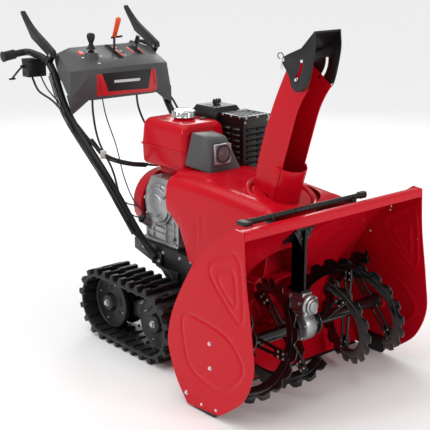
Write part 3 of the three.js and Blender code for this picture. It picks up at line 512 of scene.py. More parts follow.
def housing_wall():
    """The curved sheet, its rolled lip and the slanted flutes pressed into its left half."""
    half = HOUSING_HALF - PLATE - 0.4
    wall = offset_line(rear_edge, -14)
    lip = [(-7, 624), (-7, 640), (-6.5, 647), (-3.5, 651), (3, 652), (14, 652)]
    line = [lip[0]] + spline2(lip, 14)[1:] + [p for p in wall if p[0] > 24]
    columns = 90
    flute = [((x, 566), (x - 120, 430)) for x in (170, 205, 240, 275, 310)]

    def press(x, z):
        near = min(distance_to_line((x, z), f) for f in flute)
        return 6.0 * max(0.0, 1 - (near / 12) ** 2) ** 1.5

    def face(inset):
        rows = []
        path = offset_line(line, inset)
        for j in range(columns + 1):
            x = -half + 2 * half * j / columns
            row = []
            for u, v in path:
                depth = press(x, v) if u > 60 else 0
                row.append((x, u - depth * 0.6, v - depth * 0.8))
            rows.append(row)
        return rows

    build = Build()
    front, back = face(-PLATE / 2), face(PLATE / 2)
    ring = [a + b[::-1] for a, b in zip(front, back)]
    build.grid(ring, close_columns=True, caps=True)
    hole = Build().lathe([(0, -200), (173.7, -200), (173.7, 200), (0, 200)], (0, 300, FAN_Z), BACK, 64)
    piece("auger_housing_sheet", build, red, stands_for=("auger_housing",), cutters=(hole,), angle=32)
    ledge = Build()
    ledge.tube([(-half + 2, -6, 650), (half - 2, -6, 650)], 3.4, 10)
    piece("auger_housing_lip_bead", ledge, red)
    clips = Build()
    for x in (-250, 120):
        clips.block(x - 6, x + 6, 36, 64, 632, 648.4)
        clips.block(x - 6, x + 6, 36, 39.6, 648, 664)
        clips.block(x - 6, x + 6, 60.4, 64, 648, 664)
    piece("clean_out_clips", clips, black_plastic, edge=1)


housing_wall()
refined("scraper_blade", black_satin, 1.0)
for word, side in SIDES:
    refined("skid_shoe_" + word, black_satin, 2.0)
# The inside of the blower housing takes the darker red, which is painted shade.
refined("blower_housing", dark_red, 0, angle=35)


def brace():
    build = Build()
    build.block(-3, 3, 140, 204, 338, 540)
    for side in (-1, 1):
        build.tube([(side * 3, 141, 340), (side * 3, 141, 540)], 3, 8)
    build.prism([(138, 339), (202, 339), (206, 331.6), (132, 331.6)], "x", -24, 24)
    for side in (-1, 1):
        build.prism([(side * 2, 548), (side * 44, 556), (side * 44, 544), (side * 20, 508), (side * 2, 470)],
                    "y", 150, 154)
    bolts = Build()
    for side in (-1, 1):
        bolts.bolt((side * 30, 149, 546), FRONT, 6)
        bolts.bolt((side * 14, 149, 520), FRONT, 5)
    piece("gearbox_brace_bolts", bolts, black_gloss, edge=0.5)
    refined("gearbox_brace", black_satin, 1.5)
    piece("gearbox_brace_wings", build, black_satin, edge=1)


brace()


def clean_out_stick():
    """A ribbed bar that lies behind the lip, with a scoop at one end."""
    y, z = 50, 659
    build = Build()
    build.lathe([(0, 0), (9.5, 0), (9.5, 330), (0, 330)], (-148, y, z), LEFT, 16)
    profile = [(0, 0), (9, 0)]
    for i in range(12):
        start = 8 + i * 15
        profile += [(9.8, start), (9.8, start + 9), (8.0, start + 10.5), (8.0, start + 13.5)]
    profile += [(9, 192), (0, 192)]
    build.lathe(profile, (-342, y, z), LEFT, 18)
    build.block(-371, -341, y - 21, y + 21, z - 6.5, z + 6.5)
    build.block(150, 180, y - 9, y + 9, z - 9.5, z + 11.5)
    piece("clean_out_stick_ribbed", build, black_plastic, "clean_out_stick", ("clean_out_stick",), edge=1)


clean_out_stick()

# ------------------------------------------------------------------ auger and fan

RIBBON_PITCH, RIBBON_TURNS, RIBBON_FIRST = 350, 0.9, 62
AUGER_PHASE = {"right": 0.35, "left": 1.92}


def auger_half(word, side):
    start_angle = AUGER_PHASE[word]
    body = Build()
    teeth = Build()
    bolts = Build()

    def at(angle, radius, x):
        return round_x(side * x, AUGER_Y, AUGER_Z, radius, angle)

    for phase in (0, pi):
        start = start_angle + phase
        tooth_count = 17
        rows = []
        inner_rows = []
        for i in range(tooth_count * 6 + 1):
            t = i / (tooth_count * 6)
            angle = start + t * RIBBON_TURNS * tau
            x = RIBBON_FIRST + t * RIBBON_TURNS * RIBBON_PITCH
            outer = AUGER_RADIUS - (0, 0, 0, 3, 16, 14)[i % 6]
            rows.append([at(angle, 150, x - 2.6), at(angle, outer, x - 2.6), at(angle, outer, x + 2.4),
                         at(angle, 150, x + 2.4)])
            inner_rows.append([at(angle, 137, x - 4.5), at(angle, 160, x - 4.5), at(angle, 165, x - 2.8),
                               at(angle, 165, x + 4.6), at(angle, 137, x + 4.6)])
        teeth.grid(rows, close_columns=True, caps=True)
        body.grid(inner_rows, close_columns=True, caps=True)
        for turn in (0.08, 0.5, 0.92):
            angle = start + turn * RIBBON_TURNS * tau
            x = RIBBON_FIRST + turn * RIBBON_TURNS * RIBBON_PITCH
            across = Vector((0, -sin(angle), cos(angle)))
            for spread in (-13, 13):
                foot = Vector(at(angle, 18, x)) + across * spread
                head = Vector(at(angle, 156, x)) + across * spread * 0.8
                body.tube([foot, head], 6.0, 10)
            plate = [Vector(at(angle, r, x + dx)) + across * w
                     for dx in (5.2, 8.6) for r, w in [(100, -17), (100, 17), (158, 17), (158, -17)]]
            body.add(plate, BOX_FACES)
            for radius, w in [(142, -9), (142, 9), (118, -9), (118, 9)]:
                spot = Vector(at(angle, radius, x + 8.4)) + across * w
                bolts.bolt(spot, (side, 0, 0), 4.4)
                spot = Vector(at(angle, radius, x - 5.0)) + across * w
                bolts.bolt(spot, (-side, 0, 0), 4.0, washer=False)
    body.lathe([(12.5, 46), (44, 46), (45, 48), (45, 53), (43, 55), (21, 56), (21, 372), (27, 374), (27, 383),
                (12.5, 384)], (0, AUGER_Y, AUGER_Z), (side, 0, 0), 32)
    for a in around(4, 0.4):
        bolts.bolt(at(a, 34, 55), (side, 0, 0), 5)
    piece("auger_" + word + "_frame", body, black_gloss, "auger", ("auger_" + word,), edge=0.8)
    piece("auger_" + word + "_teeth", teeth, black_gloss, "auger", edge=0.8, angle=25)
    piece("auger_" + word + "_bolts", bolts, zinc, "auger", edge=0.4)


for word, side in SIDES:
    auger_half(word, side)


def auger_shaft():
    build = Build()
    build.lathe([(0, -404), (11, -404), (12, -402), (12, -15), (44.5, -11), (44.5, 11), (12, 15), (12, 402),
                 (11, 404), (0, 404)], (0, AUGER_Y, AUGER_Z), LEFT, 28)
    piece("auger_shaft_turned", build, steel, "auger", ("auger_shaft",))


auger_shaft()
refined("impeller_shaft", steel, 0.5)
refined("impeller", red, 1.2)


def gearbox():
    """A cast worm housing with a ringed cap, and a round wheel housing under it."""
    build = Build()
    build.lathe([(0, 0), (17, 0), (20, 2), (20, 6), (26, 7), (28.5, 10), (28.5, 14), (30, 15), (37, 18),
                 (38.4, 22), (38.4, 26), (35, 29), (34.8, 86), (38.4, 90), (38.4, 104), (34, 110), (16, 114),
                 (0, 114)], (0, 92, FAN_Z), BACK, 40)
    build.lathe([(0, -46), (24, -46), (27.5, -43), (27.5, -32), (40, -29), (49, -24), (51.4, -16), (51.4, 16),
                 (49, 24), (40, 29), (27.5, 32), (27.5, 43), (24, 46), (0, 46)],
                (0, AUGER_Y, AUGER_Z), LEFT, 40)
    build.prism([(124, 250), (176, 250), (190, 268), (190, 331), (128, 331), (120, 268)], "x", -22, 22)
    for x in (-24, 24):
        build.tube([(x, 110, 262), (x, 186, 262)], 9, 12)
        build.tube([(x * 1.5, 128, 300), (x * 1.5, 172, 300)], 6, 10)
    bolts = Build()
    for a in around(4, pi / 4):
        bolts.bolt(round_y(0, 108, FAN_Z, 33, a), FRONT, 4.6)
    for a in around(5, 0.3):
        for side in (-1, 1):
            bolts.bolt(round_x(side * 28, AUGER_Y, AUGER_Z, 43, a), (side, 0, 0), 4.2)
    for x in (-24, 24):
        bolts.bolt((x, 111, 262), FRONT, 5)
    piece("gearbox_casting", build, cast, stands_for=("gearbox",), edge=1.6, angle=40)
    piece("gearbox_bolts", bolts, chrome, edge=0.4)


gearbox()
for node in ("impeller_pulley", "engine_pulley"):
    refined(node, steel, 0.8, angle=30)
refined("drive_belt", rubber, 0.8)

# ------------------------------------------------------------------ belt cover

COVER_HALF = 182
CHUTE_Y, CHUTE_Z, CHUTE_LEAN = 262, 640, radians(17.4)
cover_top = spline2([(110, 628), (160, 646), (240, 655), (380, 665), (500, 670), (600, 669), (655, 664)], 60)


def soft_step(t):
    t = max(0.0, min(1.0, t))
    return t * t * (3 - 2 * t)


def cover_top_height(y):
    for (y0, z0), (y1, z1) in zip(cover_top, cover_top[1:]):
        if y <= y1:
            return z0 + (z1 - z0) * max(0, (y - y0) / (y1 - y0))
    return cover_top[-1][1]


def cover_low_height(y):
    """Where the cover's side ends: along the housing in front, and up round the engine at the rear."""
    line = [(u + 3, v) for u, v in rear_edge if v > 226]
    if y < line[-1][0]:
        for (y0, z0), (y1, z1) in zip(line, line[1:]):
            if y <= y1:
                return max(z0 + (z1 - z0) * (y - y0) / (y1 - y0), 330)
    rear = [(361, 330), (440, 332), (545, 380), (572, 442), (596, 490), (660, 538), (668, 540)]
    for (y0, z0), (y1, z1) in zip(rear, rear[1:]):
        if y <= y1:
            return z0 + (z1 - z0) * max(0, (y - y0) / (y1 - y0))
    return 540


def neck_rise(x, y):
    """The neck that lifts the headlight out of the top, with a flat facet in front of it."""
    dx = max(-104 - x, x - 54, 0)
    dy = max(528 - y, y - 664, 0)
    away = hypot(dx, dy * 0.62)
    rise = 14.5 * soft_step(1 - away / 58)
    facet = 5 * soft_step(1 - abs(x - 40) / 70) * soft_step(1 - abs(y - 430) / 60)
    return rise + facet


def belt_cover():
    stations = 96
    rows = []
    for i in range(stations + 1):
        y = 112 + (667 - 112) * i / stations
        top, low = cover_top_height(y), cover_low_height(y)
        corner = min(44, (top - low) * 0.45)
        section = []
        for j in range(9):
            z = low + (top - corner - low) * j / 8
            bulge = 4.5 * sin(pi * j / 8) * soft_step((y - 150) / 200)
            groove = 4.0 * max(0, 1 - (abs(hypot(y - 432, z - 452) - 74) / 10) ** 2)
            groove *= soft_step((y - 425) / 14) * soft_step((z - 456) / 16)
            section.append((-COVER_HALF + 4.5 - bulge + groove, y, z))
        for j in range(1, 9):
            a = pi / 2 * j / 8
            section.append((-COVER_HALF + 4.5 + corner * (1 - cos(a)), y,
                            top - corner + corner * sin(a)))
        across = 44
        x0 = -COVER_HALF + 4.5 + corner
        for j in range(1, across):
            x = x0 - 2 * x0 * j / across
            crown = 3.5 * cos(x / COVER_HALF * pi / 2)
            section.append((x, y, top + crown - 3.0 + 3 * soft_step((abs(x) - 90) / 60) + neck_rise(x, y)))
        rows.append(section + mirrored(section[:17])[::-1])
    build = Build().grid(rows)
    lean_axis = Vector((0, -sin(CHUTE_LEAN), cos(CHUTE_LEAN)))
    base = Vector((0, CHUTE_Y, CHUTE_Z))
    chute_hole = Build().lathe([(0, -60), (127.5, -60), (127.5, 90), (0, 90)], base, lean_axis, 64)
    obj = linked("belt_cover_shell", mesh_of("belt_cover_shell", build))
    thicken(obj, PLATE, -1)
    clean(obj.data)
    carve(obj, chute_hole)
    carve(obj, Build().block(60, 400, 572, 800, 300, 660.5))
    smooth(obj, 34)
    settle(obj, [red], "machine", ("belt_cover",))
    collar = Build()
    collar.lathe([(106, -9), (127, -9), (127, 10), (124, 15), (118, 17), (111, 12), (106, 4)],
                 base, lean_axis, 64)
    piece("chute_boss", collar, red, edge=1)


belt_cover()
refined("headlight_housing", grey_plastic, 5, 3, angle=30)


def headlight():
    """A square reflector round a dark bowl with a rim and a bulb, behind a clear cover."""
    y = 527
    middle = (-31, y, 747)
    square = [(-66, 712), (4, 712), (4, 782), (-66, 782)]
    frame_part = Build()
    frame_part.prism(square, "y", y + 2, y + 12)
    well = Build()
    well.lathe([(0, 8), (12, 7.6), (20, 5.6), (26, 1), (29.5, -1.5), (31, -1.5), (31, 10), (0, 10)],
               middle, BACK, 36)
    opening = Build().lathe([(0, -5), (29.6, -5), (29.6, 30), (0, 30)], middle, BACK, 36)
    piece("headlight_reflector", frame_part, reflector, edge=1, cutters=(opening,))
    piece("headlight_bowl", well, worn_black)
    rim = Build()
    rim.lathe([(28, -3.4), (32.5, -3.4), (32.5, 2), (28, 2), (27.4, -1)], middle, BACK, 36)
    piece("headlight_rim", rim, worn_black)
    bulb = Build()
    bulb.lathe([(0, 0), (4, 0.6), (6, 2.4), (6.4, 5), (6, 8), (0, 8)], middle, BACK, 20)
    piece("headlight_bulb", bulb, lens_clear)
    cover = Build()
    cover.prism(square, "y", y - 2.5, y - 0.5)
    piece("headlight_cover", cover, lens_clear, stands_for=("headlight_lens",), edge=0.8)


headlight()

# ------------------------------------------------------------------ chute and deflector


def leaning(p):
    """A point given across, back and along the chute, in the machine's millimetres."""
    x, v, w = p
    c, s = cos(CHUTE_LEAN), sin(CHUTE_LEAN)
    return (x, CHUTE_Y + v * c - w * s, CHUTE_Z + v * s + w * c)


def chute_rear(w):
    return 104 - 0.00035 * (w - 150) ** 2


def chute_front(w):
    return -20 - (0.0017 * (w - 300) ** 2 if w > 300 else 0)


CHUTE_HALF = 54
CHUTE_SHEET = 3.4
CHUTE_EASE = 0.6  # keeps the sheet clear of the deflector that swings over it
DEFLECTOR_V, DEFLECTOR_W = 84, 466


def chute():
    """A folded channel with rounded rear corners, a round collar at its foot and bent front edges."""
    rows = []
    half = CHUTE_HALF - CHUTE_EASE
    for i in range(49):
        t = i / 48
        w_rear, w_front = 8 + 444 * t, 8 + 412 * t
        rear, front = chute_rear(w_rear) - CHUTE_EASE, chute_front(w_front) + CHUTE_EASE
        corner = 16
        section = []
        for j in range(7):
            v = front + (rear - corner - front) * j / 6
            w = w_front + (w_rear - w_front) * j / 6
            section.append((-half, v, w))
        for j in range(1, 6):
            a = pi / 2 * j / 6
            section.append((-half + corner * (1 - cos(a)), rear - corner + corner * sin(a), w_rear))
        for j in range(7):
            section.append((-half + corner + (2 * half - 2 * corner) * j / 6, rear, w_rear))
        section += mirrored(section[:12])[::-1]
        rows.append([leaning(p) for p in section])
    build = Build().grid(rows)
    obj = linked("chute_channel", mesh_of("chute_channel", build))
    thicken(obj, CHUTE_SHEET, 1, even=True)
    smooth(obj, 40)
    settle(obj, [red], "chute", ("chute",))
    fold = Build()
    for side in (-1, 1):
        path = [leaning((side * (CHUTE_HALF - 2.6), chute_front(w) + 2.4, w)) for w in range(10, 411, 10)]
        fold.tube(path, 2.3, 10)
    path = [leaning((x, chute_rear(452), 452)) for x in range(-50, 51, 10)]
    fold.tube(path, 2.6, 8)
    piece("chute_folds", fold, red, "chute")
    collar = Build()
    inner, outer = 58.5, 62
    top = 124
    rows = []
    for k in range(37):
        a = pi + pi * k / 36
        x, v = cos(a), sin(a)
        rows.append([leaning((x * r, v * r, w)) for r, w in
                     ((inner, 4), (outer, 4), (outer, top - 2), (outer - 1, top), (inner, top))])
    collar.grid(rows, close_columns=True, caps=True)
    for side in (-1, 1):
        pts = [(side * 51, 0, 4), (side * 62, 0, 4), (side * 62, 0, top), (side * 51, 0, top)]
        pts += [(x, -22, w) for x, _, w in pts]
        collar.add([leaning(p) for p in pts], BOX_FACES)
    piece("chute_collar", collar, red, "chute", edge=0.8)
    axis = Vector(leaning((0, 0, 1))) - Vector(leaning((0, 0, 0)))
    ring = Build()
    ring.lathe([(57, 0.5), (102, 0.5), (103.5, 2), (103.5, 6), (101, 7.8), (66, 7.8), (57, 6)],
               leaning((0, 0, 0)), axis, 64)
    piece("chute_turntable", ring, red, "chute", edge=0.5)
    bolts = Build()
    for side in (-1, 1):
        bolts.bolt(leaning((side * 53.6, 14, 427)), (side, 0, 0), 6.5)
        bolts.bolt(leaning((side * 59.5, DEFLECTOR_V, DEFLECTOR_W)), (side, 0, 0), 5)
        pts = [(x, v, w) for x in (side * 50.5, side * 54) for v, w in
               [(96, 430), (94, 460), (88, 468), (78, 470), (70, 465), (66, 430)]]
        bolts.add([leaning(p) for p in pts], prism_faces(6), 1)
    bolts.tube([leaning((-62, DEFLECTOR_V, DEFLECTOR_W)), leaning((62, DEFLECTOR_V, DEFLECTOR_W))], 4, 14)
    for near, far in ((-60, -50), (50, 60)):
        bolts.lathe([(0, near), (4.6, near), (4.6, far), (0, far)], leaning((0, 14, 427)), LEFT, 12)
    piece("chute_fasteners", bolts, [chrome, red], "chute", edge=0.4)
    hook = Build()
    hook.tube(spline([leaning((-56, 88, 474)), leaning((-60, 96, 484)), leaning((-64, 106, 480)),
                      leaning((-62, 108, 468)), leaning((-57, 100, 462))], 16), 1.6, 8)
    piece("chute_wire_hook", hook, black_satin, "chute")


chute()
refined("deflector", black_satin, 1.0)


def deflector_trim():
    beads = Build()
    cheek = [(-14, 598), (-36, 538), (-43, 431), (-15, 400), (16, 397), (46, 430), (86, 456)]
    for side in (-1, 1):
        path = spline([leaning((side * 58.2, v, w)) for v, w in cheek], 40)
        beads.tube(path, 1.8, 8)
    beads.tube([leaning((x, -14.5, 597)) for x in range(-56, 57, 8)], 2.4, 8)
    piece("deflector_edges", beads, black_satin, "deflector")


deflector_trim()

# ------------------------------------------------------------------ engine

CRANK_Z = 500
RECOIL_Y = 892.6  # where the starter's cover begins


def crankcase():
    """A cast block with a round side cover, webs, bolts and a raised oil filler."""
    refined("crankcase", cast, 6, 3, angle=40)
    trim = Build()
    centre = (-118, 800, 520)
    trim.lathe([(0, 0), (66, 0), (69, 2), (69, 6), (60, 9), (44, 11), (40, 15), (22, 17), (0, 17)], centre,
               RIGHT, 40)
    trim.lathe([(74, -16), (80, -14), (81, -3), (77, 1), (66, 1), (66, -16)], centre, RIGHT, 40)
    for a in around(8, 0.2):
        foot = Vector(round_x(-112, 800, 520, 76, a))
        trim.tube([foot, foot + Vector((-9, 0, 0))], 8, 12)
    for z in (410, 432, 454):
        trim.block(-113, -106, 704, 884, z - 2.5, z + 2.5)
    for y in (712, 760, 840, 878):
        trim.block(-112, -106, y - 3, y + 3, 386, 470)
    trim.tube(spline([(-104, 720, 600), (-120, 735, 590), (-124, 748, 566), (-112, 760, 548)], 14), 11, 12)
    piece("crankcase_cover", trim, cast, edge=1.4, angle=42)
    bolts = Build()
    for a in around(8, 0.2):
        bolts.bolt(round_x(-120.5, 800, 520, 76, a), RIGHT, 4.8)
    for x in (-112, 102):
        for y in (700, 870):
            bolts.bolt((x, y, 384), UP, 6.5)
    bolts.bolt((-118, 712, 404), RIGHT, 7)
    piece("crankcase_bolts", bolts, zinc, edge=0.5)
    dipstick = Build()
    dipstick.lathe([(0, 0), (13, 0), (17, 3), (17, 12), (13, 16), (5, 17), (0, 17)], (-132, 871, 451),
                   (-44, 12, 32), 12)
    piece("oil_filler_cap", dipstick, black_plastic, edge=1)


crankcase()


def cylinder_head():
    refined("cylinder_head", cast, 1.5)
    shroud = Build()
    shroud.block(176.6, 181, 694, 836, 446, 598)
    shroud.block(174, 180, 700, 830, 500, 505)
    piece("cylinder_shroud", shroud, black_satin, edge=2)
    plug = Build()
    plug.lathe([(0, 0), (9, 0), (10, 6), (8, 14), (8, 30), (0, 32)], (181, 765, 545), (1, 0, 0.3), 16)
    lead = [(205, 765, 552), (214, 770, 575), (205, 800, 600), (182, 850, 605), (150, 885, 590)]
    plug.tube(spline(lead, 24), 3.6, 8)
    piece("spark_plug_lead", plug, black_plastic)


cylinder_head()


def rounded_section(centre, half, radius, z):
    """A level rectangle with rounded corners."""
    cx, cy = centre
    section = []
    for sx, sy, start in ((1, 1, 0), (-1, 1, 90), (-1, -1, 180), (1, -1, 270)):
        for step in range(0, 91, 10):
            a = radians(start + step)
            section.append((cx + sx * (half[0] - radius) + radius * cos(a),
                            cy + sy * (half[1] - radius) + radius * sin(a), z))
    return section


def tank():
    """A pressed tank in two halves with a flange between them, a filler neck and a fluted cap."""
    shell = Build()
    levels = [(652.4, 24, 10), (653.5, 14, 18), (658, 6, 22), (666, 1, 23), (680, -1, 24), (729, -2, 24),
              (737, -2, 24), (790, 1, 26), (808, 3, 26), (818, 7, 26), (825, 13, 24), (829, 20, 20),
              (830.4, 30, 14)]
    rows = [rounded_section((9, 806), (98 - inset, 132 - inset), radius, z) for z, inset, radius in levels]
    shell.grid(rows, close_columns=True, caps=True)
    shell.lathe([(0, 824), (38, 824), (38, 831), (34, 834), (32, 838), (0, 838)], (10, 800, 0), UP, 36)
    shell.block(-40, 60, 720, 880, 622, 654)
    piece("fuel_tank_shell", shell, red, stands_for=("fuel_tank",), angle=50)
    seam = Build()
    rows = [rounded_section((9, 806), (98 + grow, 132 + grow), 25, z)
            for z, grow in [(729, 2), (729.6, 6), (732, 7), (735.4, 6.6), (736.6, 2)]]
    seam.grid(rows, close_columns=True, caps=True)
    piece("fuel_tank_seam", seam, red)
    levels = [(838.6, 30, 0), (838.6, 43, 0), (840, 45, 0), (842, 45, 1.6), (858, 45, 1.6), (861, 43, 1),
              (863, 39, 0), (863, 33, 0), (866, 31, 0), (867.6, 24, 0), (867.8, 1, 0)]
    rows = []
    for z, radius, wave in levels:
        row = []
        for a in around(64):
            r = radius - wave * (1 + cos(a * 12)) * 0.9
            row.append((10 + r * cos(a), 800 + r * sin(a), z))
        rows.append(row)
    cap = Build().grid(rows, close_columns=True, caps=True)
    piece("fuel_cap_fluted", cap, chrome, "fuel_cap", ("fuel_cap",), angle=40)
    badge = Build()
    badge.lathe([(0, 0), (13, 0), (14, 1), (14, 4), (8, 7), (0, 7.5)], (62, 752, 829.4), UP, 20)
    piece("fuel_gauge", badge, black_plastic, edge=0.6)


tank()


def air_cleaner():
    refined("air_cleaner", black_plastic, 8, 3)
    nut = Build()
    nut.lathe([(0, 0), (11, 0), (12, 2), (8, 5), (6, 9), (6, 15), (4, 17), (0, 17.5)], (164, 794, 867.5),
              UP, 20)
    for side in (-1, 1):
        nut.tube(spline([(164 + side * 4, 794, 874), (164 + side * 11, 794, 880), (164 + side * 14, 794, 887),
                         (164 + side * 10, 794, 889)], 10), 2.4, 8)
    nut.tube([(164, 794, 880), (164, 794, 891)], 2.6, 10)
    piece("air_cleaner_wing_nut", nut, black_plastic)
    band = Build()
    band.block(102.4, 225.6, 728.4, 859.6, 833, 836)
    piece("air_cleaner_band", band, black_satin, edge=1)


air_cleaner()


def muffler():
    refined("muffler", black_satin, 7, 3)
    louvres = Build()
    for row in range(7):
        z = 668 + row * 21
        for x0, x1 in ((136, 176), (184, 226)):
            louvres.prism([(586.5, z), (580.5, z + 3), (580.5, z + 7), (588, z + 13)], "x", x0, x1)
        for y0, y1 in ((606, 648), (660, 702)):
            louvres.prism([(244, z), (250, z + 3), (250, z + 7), (243, z + 13)], "y", y0, y1)
            louvres.prism([(118, z), (112.5, z + 3), (112.5, z + 7), (119, z + 13)], "y", y0, y1)
    piece("muffler_louvres", louvres, black_satin, edge=0.7)
    screws = Build()
    for x in (128, 182, 236):
        screws.bolt((x, 583.6, 847), FRONT, 3.6)
    for y in (606, 653, 700):
        screws.bolt((115.6, y, 847), RIGHT, 3.6)
    for z in (652, 830):
        for x in (125, 237):
            screws.bolt((x, 587.6, z), FRONT, 3.4)
    piece("muffler_screws", screws, zinc, edge=0.3)
    guard = Build()
    for k in range(6):
        guard.tube([(134 + k * 19, y, 852.6) for y in (600, 700)], 1.6, 8)
    piece("muffler_top_wires", guard, black_satin)
    pipe = Build()
    pipe.lathe([(13, 0), (16, 0), (16, 26), (13, 26), (12, 2)], (247, 660, 700), (1, 0, -0.5), 24)
    piece("muffler_outlet", pipe, steel)


muffler()


def recoil_cover():
    """A domed red cover with a ring of slots and a bolted rim."""
    build = Build()
    middle = (0, RECOIL_Y, CRANK_Z)
    build.lathe([(112, 0), (127, 0), (128, 3), (126, 6), (125, 48), (120, 60), (108, 68), (92, 70.6),
                 (88, 68), (90, 64), (106, 60), (112, 52)], middle, BACK, 64)
    build.lathe([(0, 52), (30, 52), (34, 62), (34, 67), (28, 70), (16, 72), (0, 72)], middle, BACK, 40)
    for a in around(16):
        inner = round_y(0, RECOIL_Y + 66, CRANK_Z, 28, a)
        outer = round_y(0, RECOIL_Y + 67, CRANK_Z, 94, a + 0.16)
        build.tube([inner, outer], 3.6, 8)
    for radius in (50, 70):
        ring = [round_y(0, RECOIL_Y + 66.4, CRANK_Z, radius, a) for a in around(40) + [tau]]
        build.tube(ring, 2.6, 8)
    build.block(80, 142, 894, 928, 582, 600)
    build.lathe([(3.6, 0), (11, 0), (12, 3), (12, 30), (10, 34), (4.4, 34)], (128, 894, 604), BACK, 20)
    piece("recoil_cover_dome", build, red, stands_for=("recoil_cover",), edge=0.8)
    screen = Build()
    screen.lathe([(0, 0), (108, 0), (108, 3), (0, 3)], (0, RECOIL_Y + 44, CRANK_Z), BACK, 48)
    piece("recoil_screen", screen, black_plastic)
    bolts = Build()
    for a in around(6, 0.3):
        bolts.bolt(round_y(0, RECOIL_Y + 55, CRANK_Z, 126 * 0.94, a), BACK, 4.8)
    piece("recoil_bolts", bolts, zinc, edge=0.4)
    handle = Build()
    bow = [(88, 972, 604), (92, 973, 604), (128, 977, 604), (164, 973, 604), (168, 972, 604)]
    handle.tube(spline(bow, 20), [8, 10] + [11] * 16 + [10, 8], 16, squash=0.8)
    handle.tube([(128, 866, 604), (128, 970, 604)], 3, 8)
    piece("recoil_grip", handle, black_plastic, "recoil_handle", ("recoil_handle",))


recoil_cover()

# ------------------------------------------------------------------ frame and tracks

refined("main_frame", black_satin, 2)
refined("transmission", worn_black, 10, 3)
refined("track_frame", worn_black, 3)


def frame_hardware():
    bolts = Build()
    for y, z in [(575, 355), (640, 352), (740, 350), (860, 350), (600, 270), (660, 250)]:
        for side in (-1, 1):
            bolts.bolt((side * 141, y, z), (side, 0, 0), 7)
    piece("frame_bolts", bolts, zinc, edge=0.5)
    boxes = Build()
    for side in (-1, 1):
        boxes.block(*sorted((side * 141.4, side * 152)), 640, 700, 250, 300)
        boxes.tube([(side * 147, 600, 200), (side * 147, 690, 286), (side * 147, 770, 300)], 7, 12)
    boxes.tube([(-120, 548, 286), (120, 548, 286)], 12, 16)
    for side in (-1, 1):
        boxes.lathe([(0, 0), (26, 0), (28, 3), (28, 12), (20, 16), (0, 16)],
                    (side * 97, 640, 200), (side, 0, 0), 28)
        for a in around(5):
            boxes.bolt(round_x(side * 98, 640, 200, 44, a), (side, 0, 0), 5)
    piece("frame_brackets", boxes, worn_black, edge=1.2)


frame_hardware()

TRACK = {"inner": 166, "outer": 320, "y1": 621, "y2": 910, "z": 140, "belt": 118}
TRACK_RUN = TRACK["y2"] - TRACK["y1"]
TRACK_LENGTH = 2 * TRACK_RUN + tau * TRACK["belt"]
LUG_COUNT = 26
BELT_STEPS = LUG_COUNT * 8


def on_track(travel, height):
    """The (y, z) at a travel along the belt's outside and a height above it."""
    travel %= TRACK_LENGTH
    half = pi * TRACK["belt"]
    r = TRACK["belt"] + height
    if travel < TRACK_RUN:
        return (TRACK["y1"] + travel, TRACK["z"] + r)
    if travel < TRACK_RUN + half:
        a = pi / 2 - (travel - TRACK_RUN) / TRACK["belt"]
        return (TRACK["y2"] + r * cos(a), TRACK["z"] + r * sin(a))
    if travel < 2 * TRACK_RUN + half:
        return (TRACK["y2"] - (travel - TRACK_RUN - half), TRACK["z"] - r)
    a = -pi / 2 - (travel - 2 * TRACK_RUN - half) / TRACK["belt"]
    return (TRACK["y1"] + r * cos(a), TRACK["z"] + r * sin(a))


def track_belt(word, side):
    """A moulded belt: a band with thick edges, ribs inside, and bars with square pockets outside."""
    x0, x1 = TRACK["inner"], TRACK["outer"]
    build = Build()
    section = [(x0, -9), (x0, 0), (x0 + 5, 2.5), (x1 - 5, 2.5),
               (x1, 0), (x1, -9), (x1 - 4, -10.5), (x0 + 4, -10.5)]
    rows = []
    for i in range(BELT_STEPS):
        travel = TRACK_LENGTH * i / BELT_STEPS
        rows.append([(side * x, *on_track(travel, h)) for x, h in section])
    build.grid(rows, close_rows=True, close_columns=True)

    def bar(travel, half_foot, half_top, low, high, xa, xb):
        pts = []
        for x in (xa, xb):
            for s, h in ((-half_foot, low), (half_foot, low), (half_top, high), (-half_top, high)):
                pts.append((side * x, *on_track(travel + s, h)))
        build.add(pts, BOX_FACES)

    for i in range(LUG_COUNT):
        t = TRACK_LENGTH * i / LUG_COUNT
        for xa, xb in ((x0 + 1, 252), (288, x1 - 1)):
            bar(t, 13, 8, -2, 21.6, xa, xb)
        bar(t - 8, 5, 3.5, -2, 20.5, 250, 290)
        bar(t + 9, 4, 3, -2, 12.5, 250, 290)
        for xa, xb in ((206, 256), (284, 312)):
            bar(t + 16, 8, 6, -2, 8.5, xa, xb)
        for xa, xb in ((x0 + 3, 174), (266, x1 - 3), (193, 249)):
            bar(t, 6, 4.4, -7, -16.4, xa, xb)
    piece("track_belt_" + word + "_moulded", build, rubber, "track_unit", ("track_belt_" + word,), edge=1.2,
          angle=30)


